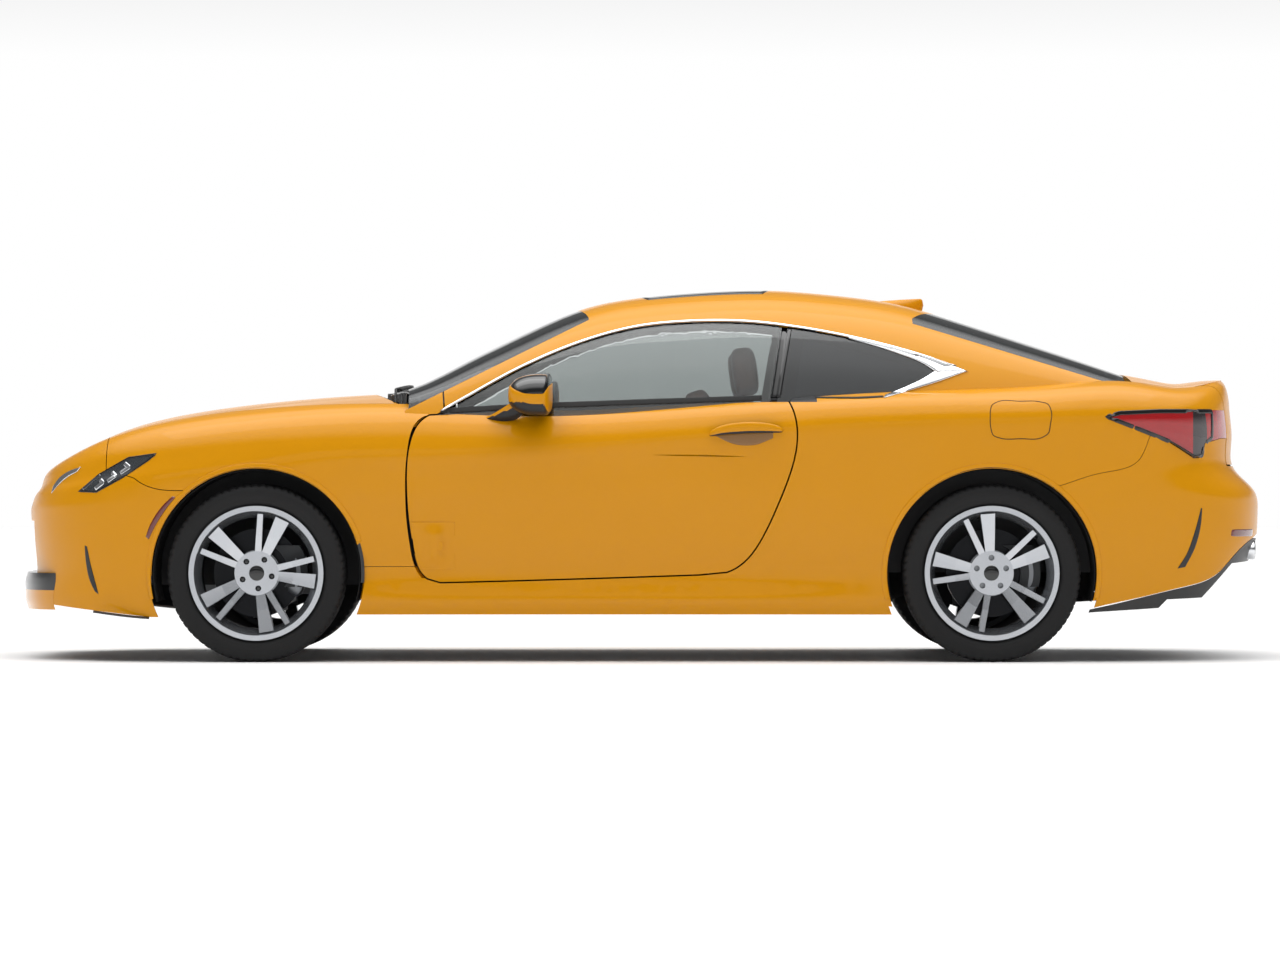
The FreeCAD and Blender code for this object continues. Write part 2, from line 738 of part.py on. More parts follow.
def make_door_glass():
    """Frameless side glass, held in the slot of the door."""
    low = [(px, py + glass_dip_px) for px, py in BELT_PX]
    face = grown(dlo_face, -panel_gap)
    pane = lite.common(left_prism(face))
    keep = corners(
        (GLASS_FRONT_PX, GLASS_TOP_PX), (POST_TOP_PX[0] + 2 * POST_WIDTH_PX, GLASS_TOP_PX),
        (POST_FOOT_PX[0] + 1, low[0][1]), (GLASS_FOOT_PX, low[2][1] + 2), (GLASS_FRONT_PX, GLASS_CORNER_PX),
    )
    return largest(pane.common(left_prism(keep)))


def make_fender():
    """Left front wing, from the lamp to the door, over the wheel."""
    nose, tail = WING_ENDS_PX
    face = chain(
        ((nose, OVER_PX), (nose, WING_NOSE_FOOT_PX)), BUMPER_SEAM_PX, ((BUMPER_REAR_PX, SILL_SEAM_PX[0]),),
        ((tail, SILL_SEAM_PX[0]), (tail, OVER_PX)),
    )
    body = skin.common(left_prism(face)).cut(door_room).cut(arch_front).cut(swing_room)
    body = body.cut(left_prism(grown(headlamp_face, seat_gap)))
    foot_x = side_x(WING_FOOT_PX[0][0])
    foot_low, foot_high = [side_z(py) for px, py in WING_FOOT_PX]
    foot = block.common(box(foot_x, foot_x + 2 * bracket_half, -left_out, -jamb_inner, foot_low, foot_high))
    foot = foot.cut(swing_room)
    horn = cabin.cut(through_prism(dlo_face)).cut(screen_room(0)).cut(door_room)
    horn = horn.common(left_prism(corners(*WING_HORN_PX)))
    return largest(fused(body, foot, horn).cut(housing_front))


tub_nose_x = front_axle_x - 1.75 * tyre_radius
tub_tail_x = rear_axle_x + 2.55 * tyre_radius
bracket_y = 0.35 * half_width
bracket_half = 20.0
bracket_z = 0.385 * roof_height
tail_bracket_z = 0.36 * roof_height
bumper_bracket_x = -0.979 * body_length / 2
tail_bracket_x = 0.9935 * body_length / 2

# Grille: two openings in the front cover and one slatted panel behind them
UPPER_GRILLE_SHARES = (0.440, 0.498, 0.33, 0.35)
LOWER_GRILLE_SHARES = (0.190, 0.372, 0.36, 0.46)
slat_pitch = 34.0
slat_slot = 22.0
rib_half = 7.0
grille_depth = 14.0
grille_wall = 12.0


def front_window(low, high, low_half, high_half):
    """Prism through the nose with a four-sided front outline."""
    places = [V(-long_out, -low_half, low), V(-long_out, low_half, low), V(-long_out, high_half, high)]
    places.append(V(-long_out, -high_half, high))
    face = Part.Face(Part.makePolygon(places + places[:1]))
    return face.extrude(V(long_out + tub_nose_x - cut_over, 0, 0))


def grille_windows(grow):
    shapes = []
    for low, high, low_wide, high_wide in (UPPER_GRILLE_SHARES, LOWER_GRILLE_SHARES):
        shapes.append(front_window(
            low * roof_height - grow, high * roof_height + grow, low_wide * half_width + grow,
            high_wide * half_width + grow,
        ))
    return shapes


def make_grille():
    """Slatted panel behind the two openings of the front cover."""
    top = grid_surface(inner_grid(band_grid, grille_depth, True))
    shell = closed_between(top, grid_surface(inner_grid(band_grid, grille_depth + grille_wall, True)))
    low, high = LOWER_GRILLE_SHARES[0] * roof_height, UPPER_GRILLE_SHARES[1] * roof_height
    wide = LOWER_GRILLE_SHARES[3] * half_width + 2 * panel_gap
    panel = front_window(low - 2 * panel_gap, high + panel_gap, wide, wide)
    body = both_sides(shell.common(panel).common(box(-long_out, 0, -left_out, 0, 0, tall_out)))
    slots = []
    for bottom, top_share, low_wide, high_wide in (UPPER_GRILLE_SHARES, LOWER_GRILLE_SHARES):
        first, last = bottom * roof_height, top_share * roof_height
        count = int((last - first) / slat_pitch)
        reach = min(low_wide, high_wide) * half_width - rib_half
        for k in range(count):
            z = first + (k + 0.5) * (last - first) / count
            for side in (-1, 1):
                near, far = sorted((side * rib_half, side * reach))
                slots.append(box(-long_out, tub_nose_x, near, far, z - slat_slot / 2, z + slat_slot / 2))
    for side in (-1, 1):
        y = side * bracket_y
        reach = bracket_half + seat_gap
        slots.append(box(-long_out, tub_nose_x, y - reach, y + reach, bracket_z - reach, bracket_z + reach))
    return largest(body.cut(Part.Compound(slots)))


# Front lip: a dark crescent proud of the front cover under the lower opening
LIP_ROW_SHARES = ((0.135, 0.0045), (0.155, 0.0010), (0.182, 0.0), (0.212, 0.0), (0.233, 0.0035))
lip_half_width = 0.696 * half_width
lip_corner_x = -0.8925 * body_length / 2
lip_depth = 60.0


def make_lip():
    grid = []
    for index in range(-CORNER_STEPS, CORNER_STEPS + 1):
        turn = math.radians(90) * abs(index) / CORNER_STEPS
        lengths = (math.cos(turn) ** nose_power + math.sin(turn) ** nose_power) ** (-1 / nose_power)
        y = math.copysign(lip_half_width * lengths * math.sin(turn), -index)
        line = []
        for rise_share, setback_share in LIP_ROW_SHARES:
            nose_x = -body_length / 2 * (1 - setback_share)
            x = lip_corner_x + (nose_x - lip_corner_x) * lengths * math.cos(turn)
            line.append(V(x, y, rise_share * roof_height))
        grid.append(line)
    body = closed_between(grid_surface(grid), grid_surface(inner_grid(grid, lip_depth, False)))
    return largest(body.cut(near_hull()))


def near_hull():
    """Cutter that holds a fixed piece one seat gap off the lower body, on both sides."""
    outer = grid_surface(inner_grid(band_grid, -seat_gap, True))
    return both_sides(closed_between(outer, grid_surface(inner_grid(band_grid, 2 * lip_depth, True))))


def make_front_bumper():
    """Painted front cover with the grille opening."""
    nose = WING_ENDS_PX[0]
    face = chain(
        ((nose, OVER_PX), (nose, WING_NOSE_FOOT_PX)), BUMPER_SEAM_PX, ((BUMPER_REAR_PX, BUMPER_FOOT_PX[0][1]),),
        BUMPER_FOOT_PX, ((BUMPER_NOSE_PX, OVER_PX),),
    )
    body = skin.common(left_prism(grown(face, -panel_gap / 2))).cut(arch_front).cut(housing_front)
    body = both_sides(body.cut(left_prism(grown(headlamp_face, seat_gap))))
    body = body.cut(fused(*grille_windows(0)))
    for side in (-1, 1):
        y = side * bracket_y
        body = body.fuse(box(
            bumper_bracket_x, tub_nose_x - seat_gap, y - bracket_half, y + bracket_half, bracket_z - bracket_half,
            bracket_z + bracket_half,
        ))
    return largest(body)


def make_headlamp():
    return largest(flank.common(left_prism(headlamp_face)))


def make_tail_lamp():
    room = box(-long_out, long_out, -left_out, -lamp_inner, 0, tall_out)
    return largest(flank.common(left_prism(tail_lamp_face)).common(room))


HEADER_HALF_SHARE = 0.62


def screen_room(grow):
    """Opening of the windscreen: over its edge line and ahead of the roof header."""
    above = [(SCREEN_EDGE_PX[k][0], SKY_PX) for k in (-1, 0)]
    side = grown(corners(*SCREEN_EDGE_PX, *above), grow)
    centre, edge = centre_x(HEADER_PX[0]), side_x(HEADER_PX[1])
    wide = HEADER_HALF_SHARE * half_width
    plan = plan_face([
        ((-long_out, -left_out), (edge + grow, -left_out)), ((edge + grow, -left_out), (edge + grow, -wide)),
        ((edge + grow, -wide), (centre + grow, 0), (edge + grow, wide)),
        ((edge + grow, wide), (edge + grow, left_out)), ((edge + grow, left_out), (-long_out, left_out)),
        ((-long_out, left_out), (-long_out, -left_out)),
    ])
    return through_prism(side).common(upright(plan))


def backlight_room(grow):
    """Opening of the rear window: over its edge line and behind the roof header."""
    above = [(BACKLIGHT_EDGE_PX[k][0], SKY_PX) for k in (-1, 0)]
    side = grown(corners(*BACKLIGHT_EDGE_PX, *above), grow)
    centre, edge = centre_x(BACKLIGHT_HEADER_PX[0]), side_x(BACKLIGHT_HEADER_PX[1])
    wide = HEADER_HALF_SHARE * half_width
    plan = plan_face([
        ((long_out, -left_out), (edge - grow, -left_out)), ((edge - grow, -left_out), (edge - grow, -wide)),
        ((edge - grow, -wide), (centre - grow, 0), (edge - grow, wide)),
        ((edge - grow, wide), (edge - grow, left_out)), ((edge - grow, left_out), (long_out, left_out)),
        ((long_out, left_out), (long_out, -left_out)),
    ])
    return through_prism(side).common(upright(plan))


lid_front_x = centre_x(LID_FRONT_PX)


def make_windscreen():
    body = cabin_shell(0, glass_wall).common(screen_room(-seat_gap))
    body = body.common(box(-long_out, long_out, -left_out, left_out, belt_base, tall_out))
    body = body.cut(deck_shell(hood_rear_centre_x - cut_over, centre_x(COWL_END_PX), 2 * cut_over))
    line = (
        (hood_rear_side_x + cowl_step, -left_out), (hood_rear_side_x + cowl_step, -cowl_side_y()),
        (hood_rear_centre_x + cowl_step, 0), (hood_rear_side_x + cowl_step, cowl_side_y()),
        (hood_rear_side_x + cowl_step, left_out),
    )
    ahead = plan_face([
        line[:2], line[1:4], line[3:], (line[-1], (-long_out, left_out)),
        ((-long_out, left_out), (-long_out, -left_out)), ((-long_out, -left_out), line[0]),
    ])
    return largest(body.cut(upright(ahead)))


def cowl_side_y():
    return seam_width(hood_rear_side_x) - panel_gap


lid_glass_gap = 16.0


def make_rear_window():
    body = cabin_shell(0, glass_wall).common(backlight_room(-seat_gap))
    return largest(body.common(box(-long_out, lid_front_x - lid_glass_gap, -left_out, left_out, 0, tall_out)))


def make_quarter_glass():
    foot_x = POST_FOOT_PX[0] + POST_WIDTH_PX * 2
    keep = corners(
        (POST_TOP_PX[0] + POST_WIDTH_PX * 2 + 5, GLASS_TOP_PX), (foot_x, DLO_TAIL_PX[2][1]),
        (SHELF_FRONT_PX, DLO_TAIL_PX[2][1]), (SHELF_FRONT_PX, GLASS_TOP_PX),
    )
    pane = lite.common(left_prism(grown(dlo_face, -seat_gap)))
    return largest(pane.common(left_prism(keep)))


def make_ring():
    """Roof, pillars and rails as one arch with its window openings."""
    body = cabin.cut(through_prism(dlo_face)).cut(screen_room(0)).cut(backlight_room(0))
    body = body.cut(through_prism(corners(*A_PILLAR_FRONT_PX)))
    body = body.cut(box(lid_front_x - lid_glass_gap, long_out, -left_out, left_out, 0, tall_out))
    inner = 0.75 * half_width
    shelf_x = centre_x(SHELF_FRONT_PX)
    shelf = box(shelf_x, long_out, -inner, inner, 0, deck_height(shelf_x, 0) - 4 * roof_wall)
    body = body.cut(shelf)
    below = through_prism(corners(*UNDER_BELT_PX))
    return largest(body.cut(below))


def make_body_side(ring):
    """Left body side: A-pillar, roof rail, C-pillar, rear quarter, door jamb and sill."""
    first, last = ARCH_FRONT_PX - 5, ARCH_REAR_PX + 5
    sill = corners(
        (first, SILL_SEAM_PX[0]), *SILL_TOP_PX, (last, SILL_SEAM_PX[1] - 3), (last, SILL_FOOT_PX),
        (first, SILL_FOOT_PX),
    )
    inside = box(-long_out, long_out, -left_out, -jamb_inner, 0, tall_out)
    beam = block.common(left_prism(grown(sill, -panel_gap / 3))).common(inside)
    pillar = block.common(left_prism(corners(*JAMB_PX))).common(inside)
    face = chain(
        QUARTER_FRONT_PX, (QUARTER_STEP_PX, (QUARTER_STEP_PX[0], OVER_PX)), BEHIND_PX, TAIL_SEAM_PX,
        (QUARTER_FOOT_PX,),
    )
    quarter = flank.common(left_prism(face)).cut(upright(lid_plan()))
    quarter = quarter.cut(box(side_x(QUARTER_END_PX), long_out, -lamp_inner, left_out, 0, tall_out))
    quarter = quarter.cut(left_prism(grown(tail_lamp_face, seat_gap)))
    quarter = quarter.cut(cabin_shell(glass_wall - seat_gap, 2 * glass_wall + seat_gap))
    half = ring.common(box(-long_out, long_out, -left_out, -roof_half, 0, tall_out))
    post_face = corners(*POST_FACE_PX)
    post = cabin_shell(2 * glass_wall + panel_gap, roof_wall).common(left_prism(post_face))
    post = post.common(box(-long_out, long_out, -left_out, -roof_half, 0, tall_out))
    whole = fused(quarter, beam, pillar, half, post)
    whole = whole.cut(door_room).cut(swing_room).cut(arch_front).cut(arch_rear)
    whole = whole.cut(housing_front).cut(housing_rear)
    return largest(whole)


hood_rear_centre_x = centre_x(HOOD_REAR_PX[0])
hood_rear_side_x = side_x(HOOD_REAR_PX[1])


lid_hinge_y = 0.33 * half_width
hood_hinge_y = 0.65 * half_width
lid_ear_radius = 11.0
lid_ear_width = 10.0
lid_pin_radius = 5.0
lid_pin_reach = 12.0
lid_axis_depth = 16.0
lid_axis_back = 17.0
hood_axis_x = hood_rear_side_x - lid_axis_back
hood_axis_z = deck_height(hood_axis_x, hood_hinge_y) - lid_axis_depth
lid_axis_x = lid_front_x + lid_axis_back
lid_axis_z = deck_height(lid_axis_x, lid_hinge_y) - lid_axis_depth


def lid_ears(axis_x, axis_z, hinge_y, foot_z):
    """Fixed ears with pins that carry a lid, on both sides."""
    half = lid_ear_width / 2
    base = V(axis_x, -hinge_y - half, axis_z)
    ear = Part.makeCylinder(lid_ear_radius, lid_ear_width, base, V(0, 1, 0))
    stem = box(
        axis_x - lid_ear_radius, axis_x + lid_ear_radius, -hinge_y - half, -hinge_y + half, foot_z, axis_z,
    )
    reach = half + lid_pin_reach
    pin = Part.makeCylinder(lid_pin_radius, 2 * reach, V(axis_x, -hinge_y - reach, axis_z), V(0, 1, 0))
    return both_sides(fused(ear, stem, pin))


def hinged(body, axis_x, axis_z, hinge_y, toward):
    """Lid with pockets for its ears, open below and to its hinge edge, and bores for the pins."""
    half = lid_ear_width / 2 + seat_gap
    top = axis_z + lid_ear_radius + seat_gap
    near, far = axis_x - toward * (lid_ear_radius + panel_gap), axis_x + toward * 3 * lid_ear_radius
    room = box(min(near, far), max(near, far), -hinge_y - half, -hinge_y + half, 0, top)
    reach = lid_ear_width / 2 + lid_pin_reach + seat_gap
    hole = Part.makeCylinder(
        lid_pin_radius + seat_gap, 2 * reach, V(axis_x, -hinge_y - reach, axis_z), V(0, 1, 0),
    )
    return body.cut(both_sides(room)).cut(both_sides(hole))


def seam_wire_points(first, last):
    return [(band_grid[i][-1].x, band_grid[i][-1].y) for i in range(first, last + 1)]


def make_hood():
    """Bonnet: crowned panel inside the seam line, with its rear edge bowed along the windscreen."""
    left = [place for place in seam_wire_points(0, columns // 2) if place[0] < hood_rear_side_x]
    left.append((hood_rear_side_x, -seam_width(hood_rear_side_x)))
    right = [(x, -y) for x, y in reversed(left[1:])]
    rear_left = (hood_rear_side_x, -seam_width(hood_rear_side_x))
    rear_right = (hood_rear_side_x, seam_width(hood_rear_side_x))
    face = plan_face([right + left, (rear_left, (hood_rear_centre_x, 0), rear_right)])
    slab = deck_shell(centre_x(HOOD_FRONT_PX), hood_rear_side_x + cut_over, hood_wall)
    body = slab.common(upright(grown(face, -panel_gap)))
    return largest(hinged(body, hood_axis_x, hood_axis_z, hood_hinge_y, 1))


def lid_plan():
    """Plan outline of the boot lid along the seam line."""
    left = [place for place in seam_wire_points(columns // 2, columns - 1) if place[0] > lid_front_x + cut_over]
    left = [(lid_front_x, -seam_width(lid_front_x))] + left
    right = [(x, -y) for x, y in reversed(left[:-1])]
    return plan_face([left + right, (right[-1], left[0])])


def make_boot_lid():
    """Boot lid: deck panel with its raised tail edge and the upright panel between the lamps."""
    face = lid_plan()
    slab = deck_shell(lid_front_x - cut_over, centre_x(LID_REAR_PX), lid_wall)
    top = slab.common(upright(grown(face, -panel_gap)))
    edge = slab.common(upright(grown(face, skin_wall / 3)))
    panel_x = side_x(TAIL_PANEL_PX)
    reach = lamp_inner - panel_gap
    edge = edge.common(box(panel_x, long_out, -reach, reach, 0, tall_out))
    tail = flank.common(box(panel_x, long_out, -reach, 0, side_z(LID_FOOT_PX), tall_out))
    body = hinged(top, lid_axis_x, lid_axis_z, lid_hinge_y, -1)
    return largest(fused(body, edge, both_sides(tail)))


def make_rear_bumper():
    face = chain(
        TAIL_SEAM_PX, ((1030, 640), (1085, 640)), TAIL_FOOT_PX, ((1300, 520), (1300, 436)),
    )
    body = skin.common(left_prism(grown(face, -panel_gap / 3))).cut(arch_rear).cut(housing_rear)
    body = body.cut(left_prism(grown(tail_lamp_face, panel_gap / 3)))
    lid_foot_z = side_z(LID_FOOT_PX) - panel_gap
    body = body.cut(box(side_x(TAIL_PANEL_PX), long_out, -lamp_inner - panel_gap, cut_over, lid_foot_z, tall_out))
    body = both_sides(body)
    for side in (-1, 1):
        y = side * bracket_y
        body = body.fuse(box(
            tub_tail_x + seat_gap, tail_bracket_x, y - bracket_half, y + bracket_half,
            tail_bracket_z - bracket_half, tail_bracket_z + bracket_half,
        ))
    return largest(body)


cowl_drop = 20.0
cowl_step = 36.0


def make_cowl():
    """Black trough behind the bonnet, stepping up to the foot of the windscreen."""
    side_y = cowl_side_y()

    def strip(start, end):
        front, rear = hood_rear_side_x + start, hood_rear_side_x + end
        mid_front, mid_rear = hood_rear_centre_x + start, hood_rear_centre_x + end
        return upright(plan_face([
            ((front, -side_y), (mid_front, 0), (front, side_y)), ((front, side_y), (rear, side_y)),
            ((rear, side_y), (mid_rear, 0), (rear, -side_y)), ((rear, -side_y), (front, -side_y)),
        ]))

    first = hood_rear_centre_x - 2 * cut_over
    last = hood_rear_side_x + 4 * cut_over
    trough = deck_shell(first, last, sheet_wall)
    trough.translate(V(0, 0, -hood_wall - cowl_drop))
    shelf = deck_shell(first, last, hood_wall + cowl_drop + sheet_wall)
    shelf.translate(V(0, 0, -seat_gap))
    low = trough.common(strip(-cowl_step, cowl_step + sheet_wall))
    return largest(low.fuse(shelf.common(strip(cowl_step, 3 * cowl_step))))


FIRE_TOP_SHARE = 0.66
bay_inset = 430.0
boot_inset = 275.0


def make_tub():
    """Floor, bulkheads, wheel housings and boot floor."""
    x_fire = hood_rear_centre_x + cut_over
    wall = sheet_wall
    nose_x = tub_nose_x
    tail_x = tub_tail_x
    floor_z = 0.136 * roof_height
    front_y = half_width - bay_inset
    rear_y = half_width - boot_inset
    boot_z = 0.235 * roof_height
    parts = [
        box(x_fire, rear_axle_x - arch_radius - wall, -jamb_inner, jamb_inner, floor_z, floor_z + wall),
        box(x_fire, x_fire + wall, -jamb_inner, jamb_inner, floor_z, FIRE_TOP_SHARE * roof_height),
        box(nose_x, x_fire + wall, -front_y, -front_y + wall, 0.2 * roof_height, 0.55 * roof_height),
        box(nose_x, x_fire + wall, front_y - wall, front_y, 0.2 * roof_height, 0.55 * roof_height),
        box(nose_x, nose_x + wall, -front_y, front_y, 0.2 * roof_height, 0.48 * roof_height),
        box(
            rear_axle_x - arch_radius - wall, rear_axle_x - arch_radius, -jamb_inner, jamb_inner, floor_z,
            0.60 * roof_height,
        ),
        box(rear_axle_x - arch_radius - wall, tail_x, -rear_y, rear_y, boot_z, boot_z + wall),
        box(rear_axle_x - arch_radius - wall, tail_x, -rear_y, -rear_y + wall, boot_z, 0.62 * roof_height),
        box(rear_axle_x - arch_radius - wall, tail_x, rear_y - wall, rear_y, boot_z, 0.62 * roof_height),
        box(tail_x - wall, tail_x, -rear_y, rear_y, boot_z, 0.48 * roof_height),
    ]
    for side in (-1, 1):
        near = min(side * jamb_inner, side * (jamb_inner - wall))
        parts.append(box(x_fire, door_axis_x + cut_over, near, near + wall, floor_z, 0.60 * roof_height))
    for axle_x, inner_y in ((front_axle_x, front_y), (rear_axle_x, rear_y)):
        deep = housing_outer - inner_y + wall
        start = V(axle_x, -inner_y + wall, tyre_radius)
        ring = Part.makeCylinder(arch_radius + wall, deep, start, V(0, -1, 0))
        ring = ring.cut(Part.makeCylinder(arch_radius + seat_gap, deep, start, V(0, -1, 0)))
        ring = ring.common(box(-long_out, long_out, -left_out, left_out, 0.21 * roof_height, tall_out))
        parts.append(ring)
        parts.append(mirrored(ring))
    shelf_z = 0.62 * roof_height
    fire_top = FIRE_TOP_SHARE * roof_height
    lid_post_x = lid_axis_x + cut_over / 3
    parts.append(box(rear_axle_x - arch_radius - wall, lid_post_x, -rear_y, rear_y, shelf_z - wall, shelf_z))
    ledge_y = 0.7 * half_width
    parts.append(box(x_fire, hood_axis_x + lid_ear_radius, -ledge_y, ledge_y, fire_top - wall, fire_top))
    riser_top = deck_height(x_fire, 0) - hood_wall - cowl_drop - sheet_wall / 2
    parts.append(box(x_fire, x_fire + wall, -bracket_y, bracket_y, fire_top - wall, riser_top))
    tub = fused(make_cowl(), *parts)
    tub = tub.fuse(lid_ears(hood_axis_x, hood_axis_z, hood_hinge_y, fire_top - wall))
    tub = tub.fuse(lid_ears(lid_axis_x, lid_axis_z, lid_hinge_y, shelf_z - wall))
    for z in hinge_heights:
        leaves = hinge_leaves(z)
        tub = tub.fuse(leaves).fuse(mirrored(leaves))
    return tub


# Wheels
rim_flange = 10.0
rim_well_radius = 216.0
rim_barrel_wall = 9.0
hub_pad_radius = 82.0
hub_face = -28.0
spoke_face_hub = -72.0
spoke_face_rim = -104.0
spoke_depth = 34.0
lug_circle_radius = 57.15
lug_hole_radius = 11.0
NARROW_SPOKE_DEG = 14.0
WIDE_SPOKE_DEG = -8.0
REAR_TURN_DEG = 30.0
PITCH_DEG = 360.0 / spoke_pairs
disc_radius = 165.0
disc_thick = 28.0
disc_inner_face = 40.0
disc_hat_radius = 86.0
bead_half = 104.0


def revolved(points, centre):
    """Solid of revolution about the wheel axis from radius and width pairs."""
    places = [V(radius, width, 0) for radius, width in points]
    wire = Part.makePolygon(places + places[:1])
    body = Part.Face(wire).revolve(V(0, 0, 0), V(0, 1, 0), 360)
    body.translate(centre)
    return body


TYRE_SIDES = 72


def make_tyre(centre):
    """Tyre seated on its rim, laid in flat facets: crown, shoulders and side walls."""
    half = tyre_width / 2
    bead = rim_radius + seat_gap
    wall = tyre_radius - bead
    points = (
        (bead, -bead_half), (bead + 0.45 * wall, -half), (tyre_radius - 0.14 * wall, -0.92 * half),
        (tyre_radius, -0.76 * half), (tyre_radius, 0.76 * half), (tyre_radius - 0.14 * wall, 0.92 * half),
        (bead + 0.45 * wall, half), (bead, bead_half),
    )
    turns = [2 * math.pi * (k + 0.5) / TYRE_SIDES for k in range(TYRE_SIDES)]
    rings = []
    for radius, width in points:
        rings.append([V(radius * math.cos(turn), width, radius * math.sin(turn)) for turn in turns])
    faces = []
    for first, second in zip(rings, rings[1:] + rings[:1]):
        for k in range(TYRE_SIDES):
            corner = [first[k - 1], first[k], second[k], second[k - 1]]
            faces.append(Part.Face(Part.makePolygon(corner + corner[:1])))
    shell = Part.Compound(faces)
    shell.sewShape()
    body = Part.Solid(shell.Shells[0])
    if body.Volume < 0:
        body.reverse()
    body.translate(centre)
    return body


def spoke(angle, wide_hub, wide_rim):
    """One spoke of a left wheel: a wedge from hub to rim at an angle, as seen from the left."""
    inner, outer = 0.6 * hub_pad_radius, rim_well_radius + rim_barrel_wall / 2
    points = [(inner, -wide_hub / 2), (outer, -wide_rim / 2), (outer, wide_rim / 2), (inner, wide_hub / 2)]
    wire = Part.makePolygon([V(radius, 0, across) for radius, across in points + points[:1]])
    body = Part.Face(wire).extrude(V(0, -tyre_width, 0))
    body.rotate(V(0, 0, 0), V(0, -1, 0), angle)
    return body


def make_rim(centre, turn):
    """Left wheel: barrel, five pairs of spokes, hub pad, with its brake disc."""
    half = rim_width / 2
    bead = rim_radius - rim_flange
    wall = rim_barrel_wall
    barrel = revolved((
        (rim_radius, -half), (rim_radius, -half + rim_flange), (bead, -half + rim_flange), (rim_well_radius, -0.35 * half),
        (rim_well_radius, 0.55 * half), (bead, half - rim_flange), (rim_radius, half - rim_flange), (rim_radius, half),
        (bead - wall, half), (rim_well_radius - wall, 0.55 * half), (rim_well_radius - wall, -0.35 * half), (bead - wall, -half),
    ), V(0, 0, 0))
    dish = revolved((
        (0, hub_face), (rim_well_radius, spoke_face_rim + spoke_depth + half / 2), (rim_radius, spoke_face_rim + spoke_depth),
        (rim_radius, spoke_face_rim), (0.55 * rim_radius, 0.5 * (spoke_face_rim + spoke_face_hub)), (hub_pad_radius, spoke_face_hub),
        (0, spoke_face_hub),
    ), V(0, 0, 0))
    star = None
    for pair in range(spoke_pairs):
        narrow = spoke(NARROW_SPOKE_DEG + turn + pair * PITCH_DEG, 0.30 * hub_pad_radius, 0.25 * hub_pad_radius)
        wide = spoke(WIDE_SPOKE_DEG + turn + pair * PITCH_DEG, 0.36 * hub_pad_radius, 0.66 * hub_pad_radius)
        star = narrow.fuse(wide) if star is None else star.fuse(narrow).fuse(wide)
    star = star.fuse(Part.makeCylinder(hub_pad_radius, tyre_width, V(0, 0, 0), V(0, -1, 0)))
    spokes = star.common(dish)
    for pair in range(spoke_pairs):
        angle = math.radians(60 + turn + pair * PITCH_DEG)
        place = V(lug_circle_radius * math.cos(angle), hub_face, lug_circle_radius * math.sin(angle))
        spokes = spokes.cut(Part.makeCylinder(lug_hole_radius, tyre_width, place, V(0, -1, 0)))
    body = barrel.fuse(spokes)
    disc = revolved((
        (0, hub_face), (disc_hat_radius, hub_face), (disc_hat_radius, disc_inner_face - disc_thick),
        (disc_radius, disc_inner_face - disc_thick), (disc_radius, disc_inner_face), (hub_hole_radius, disc_inner_face),
        (hub_hole_radius, hub_face + sheet_wall), (0, hub_face + sheet_wall),
    ), V(0, 0, 0))
    body = body.fuse(disc)
    body.translate(centre)
    return largest(body)


hub_hole_radius = 62.0
caliper_clear = 1.5
caliper_reach = 42.0
kingpin_y = track_half - 66.0
ball_radius = 16.0


def make_hub(centre, caliper_side):
    """Left hub carrier with its stub axle, upright and brake caliper."""
    x, y, z = centre.x, -centre.y, centre.z
    base = -y + hub_face + sheet_wall + seat_gap
    stub = Part.makeCylinder(hub_hole_radius - 8 * seat_gap, 2 * hub_hole_radius, V(x, base, z), V(0, 1, 0))
    back = -y + disc_inner_face + sheet_wall
    tall = 0.45 * tyre_radius
    upright_part = box(x - hub_hole_radius, x + hub_hole_radius, back, back + 2 * sheet_wall, z - tall, z + tall)
    clear = caliper_clear
    inner, outer = 0.68 * disc_radius, disc_radius + caliper_reach / 2
    shoe = revolved((
        (inner, disc_inner_face - disc_thick - clear - caliper_reach / 2),
        (outer, disc_inner_face - disc_thick - clear - caliper_reach / 2),
        (outer, disc_inner_face + clear + caliper_reach), (inner, disc_inner_face + clear + caliper_reach),
        (inner, disc_inner_face + clear), (disc_radius + clear, disc_inner_face + clear),
        (disc_radius + clear, disc_inner_face - disc_thick - clear), (inner, disc_inner_face - disc_thick - clear),
    ), V(x, -y, z))
    near_x, far_x = sorted((x, x + caliper_side * tyre_radius))
    window = box(near_x, far_x, -left_out, 0, z - 0.32 * disc_radius, z + 0.62 * disc_radius)
    caliper = shoe.common(window)
    bridge_x = x + caliper_side * 0.3 * disc_radius
    far_x = x + caliper_side * 0.8 * disc_radius
    bridge = box(min(bridge_x, far_x), max(bridge_x, far_x), back, back + 2 * sheet_wall, z - 0.2 * disc_radius, z + 0.3 * disc_radius)
    return fused(stub, upright_part, caliper, bridge)


front_left = V(front_axle_x, -track_half, tyre_radius)
rear_left = V(rear_axle_x, -track_half, tyre_radius)
ball_height = 0.42 * tyre_radius


def make_front_knuckle():
    """Left steering knuckle with lower and upper pivots on the kingpin line."""
    body = make_hub(front_left, 1)
    low = Part.makeCylinder(ball_radius, 2 * ball_radius, V(front_axle_x, -kingpin_y, tyre_radius - ball_height - ball_radius))
    back = -track_half + disc_inner_face + sheet_wall
    near_x, far_x = front_axle_x - ball_radius, front_axle_x + ball_radius
    post = box(near_x, far_x, back, back + 2 * sheet_wall, tyre_radius, 1.56 * tyre_radius)
    return fused(body, low, post)


# Chassis
arm_half = 22.0
arm_end_radius = 18.0
arm_plate = 14.0
cross_half = 70.0
cross_low = 200.0
cross_high = 240.0
beam_low = 212.0
beam_high = 262.0
engine_length = 600.0
engine_width = 460.0
engine_height = 500.0


